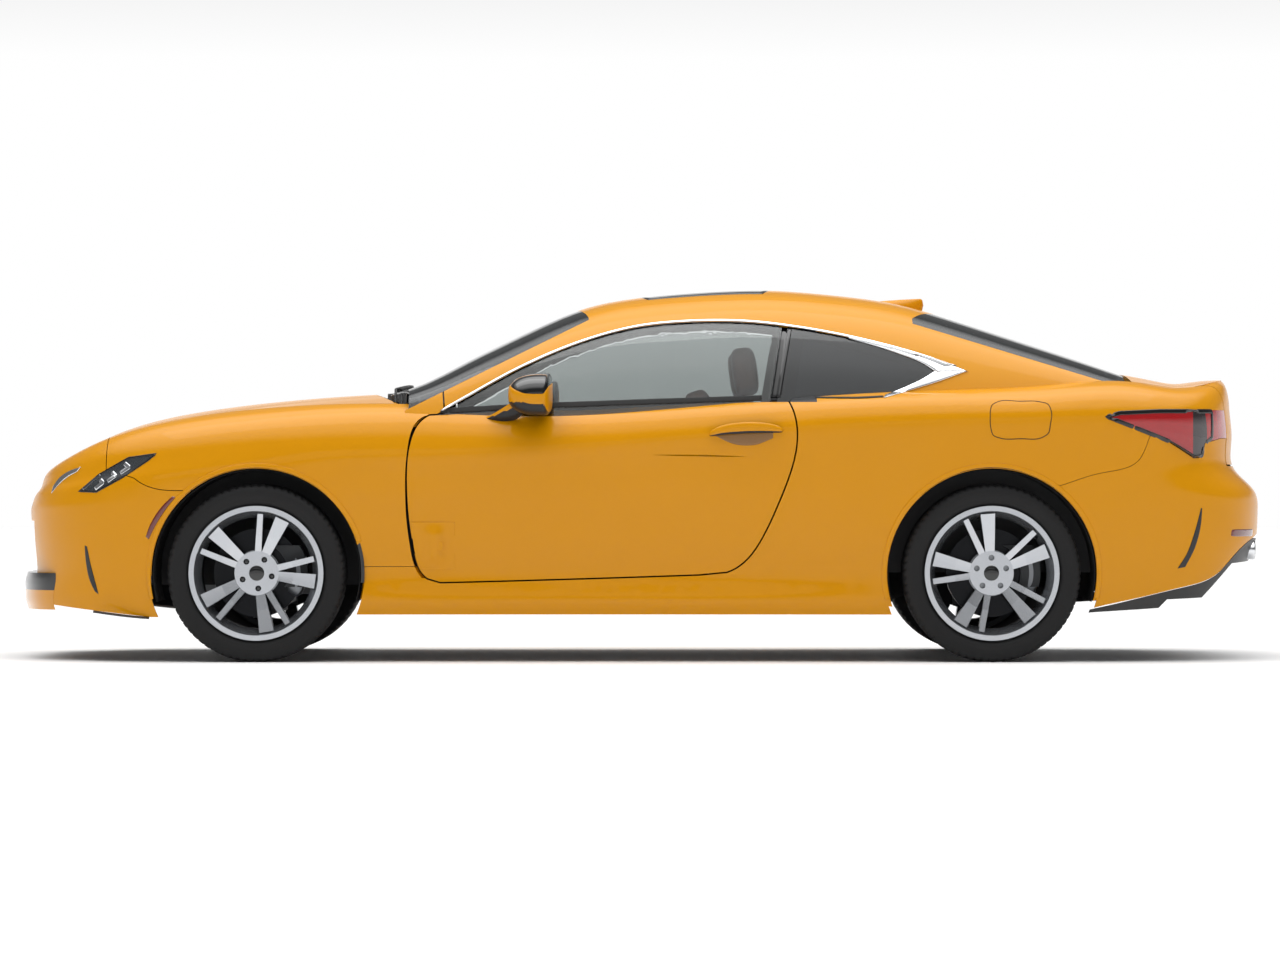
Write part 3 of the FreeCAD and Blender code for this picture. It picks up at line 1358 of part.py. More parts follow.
def make_front_subframe():
    """Cross member with the lower arms that carry the knuckles."""
    tub_foot = 0.2 * roof_height - seat_gap
    wall_y = half_width - 430.0
    x = front_axle_x
    body = box(x - cross_half, x + cross_half, -wall_y, wall_y, cross_low, cross_high)
    seat_z = tyre_radius - ball_height - ball_radius - seat_gap
    for side in (-1, 1):
        near, far = sorted((side * (wall_y - sheet_wall), side * wall_y))
        body = body.fuse(box(x - cross_half, x + cross_half, near, far, cross_high, tub_foot))
        inner, outer = sorted((side * (wall_y - 2 * cross_half), side * kingpin_y))
        body = body.fuse(box(x - arm_half, x + arm_half, inner, outer, seat_z - arm_plate, seat_z))
        foot_near, foot_far = sorted((side * (wall_y - 2 * cross_half), side * (wall_y - cross_half)))
        body = body.fuse(box(x - arm_half, x + arm_half, foot_near, foot_far, seat_z - arm_plate, cross_low))
        body = body.fuse(Part.makeCylinder(arm_end_radius, arm_plate, V(x, side * kingpin_y, seat_z - arm_plate)))
    return body


def make_rear_axle():
    """Rear beam with both hub carriers, standing under the boot floor."""
    hub = make_hub(rear_left, 1)
    x = rear_axle_x
    reach = track_half - disc_inner_face - 2 * sheet_wall
    body = fused(hub, mirrored(hub), box(x - arm_half, x + arm_half, -reach, reach, beam_low, beam_high))
    boot_foot = 0.235 * roof_height - seat_gap
    for side in (-1, 1):
        y = side * bracket_y
        body = body.fuse(box(x - arm_half, x + arm_half, y - arm_half, y + arm_half, beam_high, boot_foot))
    return body


def make_engine():
    base = cross_high + seat_gap
    x = front_axle_x - cross_half / 2
    return box(
        x - engine_length / 2, x + engine_length / 2, -engine_width / 2, engine_width / 2, base, base + engine_height,
    )


# Cabin fittings
floor_top = 0.136 * roof_height + sheet_wall
seat_centre_y = 370.0
seat_half = 245.0
DASH_SHARES = (
    (-0.340, 0.400), (-0.340, 0.662), (-0.235, 0.680), (-0.176, 0.665), (-0.158, 0.590), (-0.172, 0.460), (-0.225, 0.400),
)
CONSOLE_SHARES = ((-0.230, 0.0), (-0.230, 0.500), (-0.160, 0.470), (-0.100, 0.345), (0.110, 0.325), (0.110, 0.0))
CUSHION_SHARES = ((-0.085, 0.190), (-0.090, 0.300), (-0.070, 0.325), (0.060, 0.295), (0.095, 0.300), (0.110, 0.190))
BACK_SHARES = ((0.060, 0.270), (0.128, 0.700), (0.150, 0.715), (0.163, 0.690), (0.118, 0.240), (0.085, 0.240))
HEAD_SHARES = ((0.112, 0.745), (0.118, 0.830), (0.138, 0.846), (0.160, 0.838), (0.165, 0.735), (0.140, 0.722))
REAR_SEAT_SHARES = (
    (0.175, 0.0), (0.170, 0.300), (0.190, 0.318), (0.262, 0.292), (0.296, 0.610), (0.325, 0.612), (0.326, 0.0),
)
dash_half = 0.78 * half_width
console_half = 105.0
head_half = 125.0
post_half = 6.0
post_gap = 45.0
rail_half = 20.0
rear_seat_half = 0.68 * half_width


def profile(shares, start_y, end_y):
    """Prism across the car from pairs of shares of the wheelbase and of the roof height."""
    foot = floor_top + seat_gap
    places = [V(px * wheelbase, start_y, max(pz * roof_height, foot)) for px, pz in shares]
    face = Part.Face(Part.makePolygon(places + places[:1]))
    return face.extrude(V(0, end_y - start_y, 0))


def make_dashboard():
    body = profile(DASH_SHARES, -dash_half, dash_half)
    body = body.fuse(profile(CONSOLE_SHARES, -console_half, console_half))
    column = Part.makeCylinder(
        column_radius, column_length, wheel_centre + column_way * (hub_length / 2 + seat_gap), column_way,
    )
    first = hood_rear_centre_x - 2 * cut_over
    last = hood_rear_side_x + 4 * cut_over
    cowl_room = deck_shell(first, last, hood_wall + cowl_drop + sheet_wall + 4 * seat_gap)
    ledge_z = FIRE_TOP_SHARE * roof_height - sheet_wall - seat_gap
    ledge_room = box(
        -long_out, hood_axis_x + lid_ear_radius + seat_gap, -left_out, left_out, ledge_z, tall_out,
    )
    return largest(body.fuse(column).cut(cowl_room).cut(ledge_room))


def make_seat():
    """Left front seat: rails, cushion, back and head restraint."""
    y = -seat_centre_y
    body = profile(CUSHION_SHARES, y - seat_half, y + seat_half)
    body = body.fuse(profile(BACK_SHARES, y - 0.92 * seat_half, y + 0.92 * seat_half))
    body = body.fuse(profile(HEAD_SHARES, y - head_half, y + head_half))
    head_x = 0.140 * wheelbase
    for side in (-1, 1):
        post_y = y + side * post_gap
        post = box(
            head_x - post_half, head_x + post_half, post_y - post_half, post_y + post_half, 0.66 * roof_height,
            0.75 * roof_height,
        )
        rail_y = y + side * 0.75 * seat_half
        rail = box(
            CUSHION_SHARES[0][0] * wheelbase, CUSHION_SHARES[-1][0] * wheelbase, rail_y - rail_half, rail_y + rail_half,
            floor_top + seat_gap, 0.20 * roof_height,
        )
        body = body.fuse(post).fuse(rail)
    return body


def make_rear_seat():
    return profile(REAR_SEAT_SHARES, -rear_seat_half, rear_seat_half)


COLUMN_TILT_DEG = 25.0
column_radius = 28.0
column_length = 260.0
hub_length = 40.0
hub_radius = 55.0
wheel_rim_radius = 180.0
wheel_grip = 15.0
column_way = V(-math.cos(math.radians(COLUMN_TILT_DEG)), 0, -math.sin(math.radians(COLUMN_TILT_DEG)))
wheel_centre = V(-0.105 * wheelbase, -seat_centre_y, 0.57 * roof_height)


def make_steering_wheel():
    """Three-spoke wheel about its column."""
    ring = Part.makeTorus(wheel_rim_radius, wheel_grip)
    hub = Part.makeCylinder(hub_radius, hub_length, V(0, 0, -hub_length / 2))
    body = ring.fuse(hub)
    for turn in (0, 90, 180):
        arm = box(0, wheel_rim_radius, -wheel_grip, wheel_grip, -wheel_grip / 2, wheel_grip / 2)
        arm.rotate(V(0, 0, 0), V(0, 0, 1), turn)
        body = body.fuse(arm)
    body.rotate(V(0, 0, 0), V(0, 0, 1), 90)
    tilt = FreeCAD.Rotation(V(0, 0, 1), column_way)
    body.Placement = FreeCAD.Placement(wheel_centre, tilt).multiply(body.Placement)
    return body


# Door mirrors
MIRROR_HEAD_PX = ((505, 550), (373, 415))
MIRROR_FOOT_PX = ((480, 520), (404, 424))
mirror_inner = half_width - 40.0
mirror_outer = half_width + 125.0
mirror_foot_inner = 0.85 * half_width
MIRROR_SECTION_SHARES = ((0.0, 0.45), (0.12, 0.74), (0.40, 0.94), (0.80, 1.0), (1.0, 0.97))
mirror_corner_share = 0.38


def rounded_section(x, y0, y1, z0, z1, radius):
    """Closed section across X: a rectangle with rounded corners."""
    centres = ((y1 - radius, z1 - radius, 0), (y0 + radius, z1 - radius, 90), (y0 + radius, z0 + radius, 180))
    centres = centres + ((y1 - radius, z0 + radius, 270),)
    edges = []
    previous = None
    first = None
    for y, z, start in centres:
        arc_points = []
        for step in (0, 45, 90):
            angle = math.radians(start + step)
            arc_points.append(V(x, y + radius * math.cos(angle), z + radius * math.sin(angle)))
        if previous is not None:
            edges.append(Part.makeLine(previous, arc_points[0]))
        else:
            first = arc_points[0]
        edges.append(Part.Arc(*arc_points).toShape())
        previous = arc_points[-1]
    edges.append(Part.makeLine(previous, first))
    return Part.Wire(edges)


def make_mirror():
    """Left door mirror: rounded head on a short foot that follows the door."""
    x0, x1 = side_x(MIRROR_HEAD_PX[0][0]), side_x(MIRROR_HEAD_PX[0][1])
    z1, z0 = side_z(MIRROR_HEAD_PX[1][0]), side_z(MIRROR_HEAD_PX[1][1])
    middle_y, middle_z = -(mirror_inner + mirror_outer) / 2, (z0 + z1) / 2
    wires = []
    for place_share, size_share in MIRROR_SECTION_SHARES:
        across = size_share * (mirror_outer - mirror_inner) / 2
        tall = size_share * (z1 - z0) / 2
        x = x0 + place_share * (x1 - x0)
        corner = mirror_corner_share * 2 * tall
        wires.append(rounded_section(x, middle_y - across, middle_y + across, middle_z - tall, middle_z + tall, corner))
    head = Part.makeLoft(wires, True, False)
    fx0, fx1 = side_x(MIRROR_FOOT_PX[0][0]), side_x(MIRROR_FOOT_PX[0][1])
    fz1, fz0 = side_z(MIRROR_FOOT_PX[1][0]), side_z(MIRROR_FOOT_PX[1][1])
    foot = box(fx0, fx1, middle_y, -mirror_foot_inner, fz0, fz1)
    x_room = box(fx0 - cut_over, x1 + cut_over, -left_out, -block_inner, 0, tall_out)
    glass_room = cabin_shell(0, lip_depth).common(x_room)
    return largest(head.fuse(foot).cut(near_hull().common(x_room)).cut(glass_room))


def make_diffuser():
    """Dark lower part of the tail."""
    face = chain(
        ((1040, 618), (1085, 611), (1140, 598.6), (1183, 588.6), (1222, 575), (1236, 561), (1262, 540)),
        ((1300, 540), (1300, 560)), ((1238, 564.3),), ((1217, 587),), ((1205.7, 598.6),), ((1168.6, 600),), ((1160, 608.6),),
        ((1091, 612.9), (1040, 619.5)),
    )
    body = skin.common(left_prism(face)).cut(arch_rear)
    return largest(both_sides(body))


ring = make_ring()
pieces = {
    "body_tub": make_tub(),
    "roof_panel": largest(ring.common(box(-long_out, long_out, -roof_half, roof_half, 0, tall_out))),
    "hood": make_hood(),
    "boot_lid": make_boot_lid(),
    "front_bumper": make_front_bumper(),
    "rear_bumper": make_rear_bumper(),
    "front_grille": make_grille(),
    "front_lip": make_lip(),
    "rear_diffuser": make_diffuser(),
    "windscreen": make_windscreen(),
    "rear_window": make_rear_window(),
    "dashboard": make_dashboard(),
    "steering_wheel": make_steering_wheel(),
    "rear_seat": make_rear_seat(),
    "engine_block": make_engine(),
    "front_subframe": make_front_subframe(),
    "rear_axle": make_rear_axle(),
}
left_pieces = {
    "body_side": make_body_side(ring),
    "fender": make_fender(),
    "door": make_door(),
    "door_glass": make_door_glass(),
    "quarter_glass": make_quarter_glass(),
    "mirror": make_mirror(),
    "headlamp": make_headlamp(),
    "tail_lamp": make_tail_lamp(),
    "seat": make_seat(),
    "knuckle_front": make_front_knuckle(),
    "rim_front": make_rim(front_left, 0),
    "rim_rear": make_rim(rear_left, REAR_TURN_DEG),
    "tyre_front": make_tyre(front_left),
    "tyre_rear": make_tyre(rear_left),
}
for name, shape in left_pieces.items():
    pieces[name + "_left"] = shape
    pieces[name + "_right"] = mirrored(shape)

os.makedirs("parts", exist_ok=True)
for name, shape in pieces.items():
    shape.exportStep("parts/" + name + ".step")
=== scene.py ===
# %% [markdown]
# # A coupe car, dressed for its picture
# The solids of the car come ready from the CAD step as one fixed frame. This lesson gives every panel,
# pane and wheel its real finish and adds the small pieces that a maker fits last: tyres with tread,
# handles, trim strips, lamps' insides, seats and seals. Everything is in metres, nose towards -X,
# the car's left side towards -Y, ground at Z = 0.

# %% Load the frame and the helpers
import json
import math

import bmesh
import bpy
import numpy as np
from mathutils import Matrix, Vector
from mathutils.bvhtree import BVHTree


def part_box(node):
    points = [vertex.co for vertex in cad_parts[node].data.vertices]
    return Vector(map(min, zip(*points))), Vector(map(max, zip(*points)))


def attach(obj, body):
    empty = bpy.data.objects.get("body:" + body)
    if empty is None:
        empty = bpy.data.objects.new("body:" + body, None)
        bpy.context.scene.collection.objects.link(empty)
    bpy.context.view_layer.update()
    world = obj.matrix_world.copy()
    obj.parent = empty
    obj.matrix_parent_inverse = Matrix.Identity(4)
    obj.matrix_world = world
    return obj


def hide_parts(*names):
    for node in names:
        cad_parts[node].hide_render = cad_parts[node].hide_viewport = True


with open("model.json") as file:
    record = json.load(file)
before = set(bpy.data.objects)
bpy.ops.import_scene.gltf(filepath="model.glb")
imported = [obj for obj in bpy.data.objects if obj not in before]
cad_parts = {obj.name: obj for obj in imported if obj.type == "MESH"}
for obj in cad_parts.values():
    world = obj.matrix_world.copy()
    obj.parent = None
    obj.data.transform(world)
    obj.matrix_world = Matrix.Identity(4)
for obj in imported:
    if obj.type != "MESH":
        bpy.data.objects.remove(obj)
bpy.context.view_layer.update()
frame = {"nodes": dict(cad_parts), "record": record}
nodes = frame["nodes"]

# %% [markdown]
# ## Reading places off the picture
# The photograph was taken square on to the left side with a very long lens. One scale serves for things
# on the car's flank, and another, a little coarser, for things on its centre plane. Pixel places are
# turned to metres once, here, so that each piece below can be placed where it shows in the picture.

# %% Picture scales
FRONT_AXLE_X = -1.427
REAR_AXLE_X = 1.303
WHEELBASE = 2.730
WHEELBASE_PX = 736.1
CAR_HEIGHT = 1.402
CAR_HEIGHT_PX = 378.0
FRONT_AXLE_PX = 256.0
GROUND_PX = 662.5
PLUMB_PX = 642.9
CENTRE_IS_FARTHER = 1.0404
SIDE_SCALE = WHEELBASE / WHEELBASE_PX
SIDE_RISE = CAR_HEIGHT / CAR_HEIGHT_PX
PLUMB_X = FRONT_AXLE_X + (PLUMB_PX - FRONT_AXLE_PX) * SIDE_SCALE


def side_place(px, py):
    """X and Z in metres of a picture place that lies on the car's left flank."""
    return PLUMB_X + (px - PLUMB_PX) * SIDE_SCALE, (GROUND_PX - py) * SIDE_RISE


def centre_x(px):
    """X in metres of a picture place that lies on the centre plane."""
    return PLUMB_X + (px - PLUMB_PX) * SIDE_SCALE * CENTRE_IS_FARTHER


print("flank scale", round(SIDE_SCALE * 1000, 3), "mm per pixel, plumb line at x", round(PLUMB_X, 4))

# %% [markdown]
# ## Small tools for finishes
# A finish is a node tree that ends in one Principled shader. Two helpers keep the recipes readable: one
# turns a hex colour, as a paint chart gives it, into the linear numbers that light is computed with,
# and one adds a node with its settings and links. Most finishes have a fine grain from their mould or
# casting, so the maker of a finish can add it: a noise whose cells and depth are given in millimetres.

# %% Colour and node helpers
def linear(code):
    """Linear red, green, blue, alpha of an sRGB hex code: each share is undone from its display curve."""
    shares = [int(code[i:i + 2], 16) / 255 for i in (0, 2, 4)]
    return [s / 12.92 if s <= 0.04045 else ((s + 0.055) / 1.055) ** 2.4 for s in shares] + [1.0]


def add_node(tree, kind, settings=None, links=None):
    """Adds one node; settings go to its fields or sockets by name, links join its inputs to other sockets."""
    node = tree.nodes.new(kind)
    for key, value in (settings or {}).items():
        if isinstance(key, str) and hasattr(node, key):
            setattr(node, key, value)
        else:
            node.inputs[key].default_value = value
    for key, socket in (links or {}).items():
        tree.links.new(socket, node.inputs[key])
    return node


def new_finish(name, settings, grain_mm=None):
    """A material of one Principled shader; grain_mm is the cell size and depth of a noise relief on it."""
    material = bpy.data.materials.new(name)
    material.use_nodes = True
    tree = material.node_tree
    tree.nodes.clear()
    shader = add_node(tree, "ShaderNodeBsdfPrincipled", settings)
    add_node(tree, "ShaderNodeOutputMaterial", None, {"Surface": shader.outputs[0]})
    if grain_mm:
        place = add_node(tree, "ShaderNodeTexCoord").outputs["Object"]
        noise = add_node(tree, "ShaderNodeTexNoise", {"Scale": 1000.0 / grain_mm[0], "Detail": 3.0},
                         {"Vector": place})
        bump = add_node(tree, "ShaderNodeBump", {"Distance": grain_mm[1] / 1000.0, "Strength": 1.0},
                        {"Height": noise.outputs[0]})
        tree.links.new(bump.outputs[0], shader.inputs["Normal"])
    return material, shader


print("mid grey in linear light:", round(linear("808080")[0], 3))


# %% [markdown]
# ## Body paint
# The body is pressed steel with a solid amber-yellow basecoat, a little pearl in it, under a clear coat.
# The eye reads the clear coat first: sharp reflections that slide along the shoulder. The pearl shows
# only as a warm shift of colour, so a soft noise varies the basecoat by a few percent. Its grain is
# about a millimetre, far coarser than real pearl, so that it shows at all. Faces that look into the
# cabin are covered by lining and felt on the real car, so the finish turns dark grey where a face points
# inwards or down, and on the post between the side windows, which is blacked out on such coupes.

# %% Basecoat and clear coat
PEARL_CELLS_PER_M = 900.0
paint, paint_shader = new_finish("basecoat_clearcoat_paint", {
    "Base Color": linear("CB8800"), "Metallic": 0.0, "Roughness": 0.34, "IOR": 1.5,
    "Specular IOR Level": 0.05, "Coat Weight": 0.4, "Coat Roughness": 0.03, "Coat IOR": 1.5,
})
paint_tree = paint.node_tree
paint_place = add_node(paint_tree, "ShaderNodeTexCoord").outputs["Object"]
pearl = add_node(paint_tree, "ShaderNodeTexNoise", {"Scale": PEARL_CELLS_PER_M, "Detail": 2.0},
                 {"Vector": paint_place})
pearl_mix = add_node(paint_tree, "ShaderNodeMix", {
    "data_type": "RGBA", 6: linear("C68400"), 7: linear("D08D02")}, {"Factor": pearl.outputs[0]})
print("basecoat pearl drawn at", round(1000 / PEARL_CELLS_PER_M, 1), "mm")

# %% Where the paint gives way to lining
INWARD_LIMIT = -0.3
HEADLINER_FROM_Z = 0.62
POST_MID_X = 0.55
POST_HALF_X = 0.105
POST_MID_Z = 1.105
POST_HALF_Z = 0.139
face_way = add_node(paint_tree, "ShaderNodeSeparateXYZ", None, {
    "Vector": add_node(paint_tree, "ShaderNodeNewGeometry").outputs["True Normal"]}).outputs
face_place = add_node(paint_tree, "ShaderNodeSeparateXYZ", None, {"Vector": paint_place}).outputs
side_sign = add_node(paint_tree, "ShaderNodeMath", {"operation": "SIGN"}, {0: face_place["Y"]})
outward = add_node(paint_tree, "ShaderNodeMath", {"operation": "MULTIPLY"},
                   {0: side_sign.outputs[0], 1: face_way["Y"]})
inner_side = add_node(paint_tree, "ShaderNodeMath", {"operation": "LESS_THAN", 1: INWARD_LIMIT},
                      {0: outward.outputs[0]})
downward = add_node(paint_tree, "ShaderNodeMath", {"operation": "LESS_THAN", 1: INWARD_LIMIT},
                    {0: face_way["Z"]})
overhead = add_node(paint_tree, "ShaderNodeMath", {"operation": "GREATER_THAN", 1: HEADLINER_FROM_Z},
                    {0: face_place["Z"]})
headliner = add_node(paint_tree, "ShaderNodeMath", {"operation": "MULTIPLY"},
                     {0: downward.outputs[0], 1: overhead.outputs[0]})
post_span = add_node(paint_tree, "ShaderNodeMath", {"operation": "COMPARE", 1: POST_MID_X, 2: POST_HALF_X},
                     {0: face_place["X"]})
post_rise = add_node(paint_tree, "ShaderNodeMath", {"operation": "COMPARE", 1: POST_MID_Z, 2: POST_HALF_Z},
                     {0: face_place["Z"]})
post_face = add_node(paint_tree, "ShaderNodeMath", {"operation": "MULTIPLY"},
                     {0: post_span.outputs[0], 1: post_rise.outputs[0]})
lined = add_node(paint_tree, "ShaderNodeMath", {"operation": "MAXIMUM"},
                 {0: inner_side.outputs[0], 1: headliner.outputs[0]})
inner_face = add_node(paint_tree, "ShaderNodeMath", {"operation": "MAXIMUM"},
                      {0: lined.outputs[0], 1: post_face.outputs[0]})
trim_mix = add_node(paint_tree, "ShaderNodeMix", {"data_type": "RGBA", 7: linear("242527")},
                    {"Factor": inner_face.outputs[0], 6: pearl_mix.outputs[2]})
paint_tree.links.new(trim_mix.outputs[2], paint_shader.inputs["Base Color"])
print("paint gives way to lining on inner faces and on the post at x", POST_MID_X)

# %% Orange peel in the clear coat
PEEL_CELLS_PER_M = 120.0
PEEL_DEPTH = 0.00002
orange_peel = add_node(paint_tree, "ShaderNodeTexNoise", {"Scale": PEEL_CELLS_PER_M, "Detail": 1.0},
                       {"Vector": paint_place})
peel_bump = add_node(paint_tree, "ShaderNodeBump", {"Distance": PEEL_DEPTH, "Strength": 0.5},
                     {"Height": orange_peel.outputs[0]})
paint_tree.links.new(peel_bump.outputs[0], paint_shader.inputs["Coat Normal"])
print("paint made")

# %% [markdown]
# ## Trim, glass, metals and leather
# A car's other finishes are told apart by their gloss more than by their colour. Moulded plastic and
# rubber are nearly black and differ in how wide their highlights are. Glass is drawn as a clear body
# with a tint, and a cast or machined metal by the width of its reflection. Two finishes change with
# place: the tail lens is smoked at its outer corner, and a rim is bright on its face and dark inside.

# %% Inner body, trim and rubber
# Underbody coating: a sprayed satin film, dull and slightly pebbled.
inner_paint, _ = new_finish("satin_underbody_coating", {
    "Base Color": linear("2A2B2D"), "Roughness": 0.6, "IOR": 1.5}, (2.0, 0.15))
# ABS, moulded in a fine-grained tool: black with a broad, soft highlight.
abs_trim, _ = new_finish("moulded_black_abs", {
    "Base Color": linear("151617"), "Roughness": 0.42, "IOR": 1.52}, (1.2, 0.05))
# Acrylic faced trim: black as ink, with a sharp mirror-like highlight.
gloss_black, _ = new_finish("piano_black_acrylic", {
    "Base Color": linear("0A0B0C"), "Roughness": 0.06, "IOR": 1.49,
    "Coat Weight": 0.5, "Coat Roughness": 0.02}, (8.0, 0.004))
# EPDM, extruded: soot black and almost without a highlight.
seal_rubber, _ = new_finish("extruded_epdm_rubber", {
    "Base Color": linear("101011"), "Roughness": 0.7, "IOR": 1.52}, (0.8, 0.04))
print("dark finishes:", [m.name for m in (inner_paint, abs_trim, gloss_black, seal_rubber)])

# %% Glass and lenses
SMOKED_FROM_X = 2.056
SMOKED_FROM_Y = 0.765
# Tempered glass with a privacy tint: what lies behind it is only guessed at.
dark_glass, _ = new_finish("privacy_tinted_tempered_glass", {
    "Base Color": linear("4A5053"), "Roughness": 0.0, "IOR": 1.52, "Transmission Weight": 0.92})
# Tempered door glass, lightly tinted: the seats show through it, greyed.
window_glass, _ = new_finish("tinted_tempered_glass", {
    "Base Color": linear("B4BAB9"), "Roughness": 0.0, "IOR": 1.52, "Transmission Weight": 1.0})
# Polycarbonate under a hard coat: a dark lens with crisp highlights.
clear_lens, _ = new_finish("smoked_polycarbonate_lens", {
    "Base Color": linear("3C4146"), "Roughness": 0.03, "IOR": 1.58, "Transmission Weight": 0.35,
    "Coat Weight": 1.0, "Coat Roughness": 0.02})
# Acrylic tail lens: deep red with a smoked outer corner, both under one glossy skin.
red_lens, red_shader = new_finish("red_and_smoked_acrylic_lens", {
    "Base Color": linear("8E0A10"), "Roughness": 0.05, "IOR": 1.49,
    "Coat Weight": 1.0, "Coat Roughness": 0.02})
red_tree = red_lens.node_tree
lamp_place = add_node(red_tree, "ShaderNodeSeparateXYZ", None, {
    "Vector": add_node(red_tree, "ShaderNodeTexCoord").outputs["Object"]}).outputs
lamp_side = add_node(red_tree, "ShaderNodeMath", {"operation": "ABSOLUTE"}, {0: lamp_place["Y"]})
lamp_aft = add_node(red_tree, "ShaderNodeMath", {"operation": "GREATER_THAN", 1: SMOKED_FROM_X},
                    {0: lamp_place["X"]})
lamp_out = add_node(red_tree, "ShaderNodeMath", {"operation": "GREATER_THAN", 1: SMOKED_FROM_Y},
                    {0: lamp_side.outputs[0]})
smoked_part = add_node(red_tree, "ShaderNodeMath", {"operation": "MULTIPLY"},
                       {0: lamp_aft.outputs[0], 1: lamp_out.outputs[0]})
lamp_mix = add_node(red_tree, "ShaderNodeMix", {
    "data_type": "RGBA", 6: linear("9C0B12"), 7: linear("2C2426")}, {"Factor": smoked_part.outputs[0]})
red_tree.links.new(lamp_mix.outputs[2], red_shader.inputs["Base Color"])
print("clear finishes:", [m.name for m in (dark_glass, window_glass, clear_lens, red_lens)])

# %% Metals
# Aluminium turned on a lathe: a bright face whose highlights are drawn a little wide.
machined, _ = new_finish("machined_cast_aluminium", {
    "Base Color": linear("B9BCC1"), "Metallic": 1.0, "Roughness": 0.27})
# The rim: machined on its face and dark deeper in, in the barrel behind the spoke face, so that the spokes
# stand out.
rim_finish, rim_shader = new_finish("machined_rim_with_dark_barrel", {
    "Base Color": linear("B9BCC1"), "Metallic": 0.9, "Roughness": 0.27})
RIM_DARK_UP_TO_Y = 0.806
RIM_BRIGHT_FROM_Y = 0.832
rim_tree = rim_finish.node_tree
rim_place = add_node(rim_tree, "ShaderNodeSeparateXYZ", None, {
    "Vector": add_node(rim_tree, "ShaderNodeTexCoord").outputs["Object"]}).outputs
rim_depth = add_node(rim_tree, "ShaderNodeMath", {"operation": "ABSOLUTE"}, {0: rim_place["Y"]})
rim_face = add_node(rim_tree, "ShaderNodeMapRange", {
    "From Min": RIM_DARK_UP_TO_Y, "From Max": RIM_BRIGHT_FROM_Y}, {"Value": rim_depth.outputs[0]})
rim_mix = add_node(rim_tree, "ShaderNodeMix", {"data_type": "RGBA", 6: linear("1B1C1E"), 7: linear("B9BCC1")},
                   {"Factor": rim_face.outputs[0]})
rim_tree.links.new(rim_mix.outputs[2], rim_shader.inputs["Base Color"])
# Cast iron under chassis paint: dark, half metallic, rough from the mould.
cast_iron, _ = new_finish("cast_iron_chassis_paint", {
    "Base Color": linear("37393B"), "Metallic": 0.4, "Roughness": 0.55}, (1.5, 0.1))
# Sand-cast aluminium: pale grey and matt, with a sandy grain.
engine_metal, _ = new_finish("sand_cast_aluminium", {
    "Base Color": linear("8D9094"), "Metallic": 0.9, "Roughness": 0.5}, (1.5, 0.1))
print("metals:", [m.name for m in (machined, rim_finish, cast_iron, engine_metal)])

# %% Leather, tyre rubber and the front lip
# Leather, dyed through and thinly finished: warm tan with a soft sheen broken by pores.
leather, _ = new_finish("tan_semi_aniline_leather", {
    "Base Color": linear("8A4B2A"), "Roughness": 0.5, "IOR": 1.5}, (3.0, 0.12))
# Vulcanised rubber full of carbon black: a dull, very dark grey.
tyre_rubber, _ = new_finish("carbon_black_tyre_rubber", {
    "Base Color": linear("111112"), "Roughness": 0.66, "IOR": 1.52, "Specular IOR Level": 0.3}, (1.0, 0.05))
# The lip is moulded black and painted up to an edge, so it shows as a black line over body colour.
LIP_BLACK_FROM_Z = 0.262
lip_finish, lip_shader = new_finish("front_lip_two_tone", {
    "Base Color": linear("1A1B1C"), "Roughness": 0.3, "IOR": 1.5,
    "Coat Weight": 0.75, "Coat Roughness": 0.05})
lip_tree = lip_finish.node_tree
lip_place = add_node(lip_tree, "ShaderNodeSeparateXYZ", None, {
    "Vector": add_node(lip_tree, "ShaderNodeTexCoord").outputs["Object"]}).outputs
lip_edge = add_node(lip_tree, "ShaderNodeMath", {"operation": "GREATER_THAN", 1: LIP_BLACK_FROM_Z},
                    {0: lip_place["Z"]})
lip_mix = add_node(lip_tree, "ShaderNodeMix", {"data_type": "RGBA", 6: linear("CB8800"), 7: linear("1A1B1C")},
                   {"Factor": lip_edge.outputs[0]})
lip_tree.links.new(lip_mix.outputs[2], lip_shader.inputs["Base Color"])
print("lip black above", LIP_BLACK_FROM_Z, "m")

# %% Finishes onto the solids
FINISHES = {
    "body_paint": paint, "inner_body": inner_paint, "dark_trim": abs_trim, "mirror_trim": paint,
    "window_glass": window_glass, "headlamp_lens": clear_lens, "tail_lamp_lens": red_lens,
    "tan_leather": leather, "wheel_grip": seal_rubber, "engine_metal": engine_metal,
    "chassis_metal": cast_iron, "rim_metal": rim_finish, "tyre_rubber": tyre_rubber,
}
OWN_FINISHES = {
    "front_lip": lip_finish, "quarter_glass_left": dark_glass, "quarter_glass_right": dark_glass,
    "windscreen": dark_glass, "rear_window": dark_glass,
}
for row in frame["record"]["subparts"]:
    node = nodes[row["node"]]
    node.data.materials.clear()
    node.data.materials.append(OWN_FINISHES.get(row["node"], FINISHES[row["material_slot"]]))

# %% [markdown]
# ## Finding the skin
# Small pieces on a car are shaped to the panel that carries them. The panels are already here as
# meshes, so a ray shot straight at the flank, the roof or the tail tells where their skin lies. Every
# strip, marker and handle below is drawn in picture places first and then laid on that skin.

# %% Rays onto the panels
FAR = 5.0


def skin_of(names):
    """One search tree over the named panels, in metres."""
    points, faces = [], []
    for name in names:
        mesh = nodes[name].data
        start = len(points)
        places = np.empty(len(mesh.vertices) * 3)
        mesh.vertices.foreach_get("co", places)
        points.extend(places.reshape(-1, 3).tolist())
        faces.extend([[start + v for v in polygon.vertices] for polygon in mesh.polygons])
    return BVHTree.FromPolygons(points, faces)


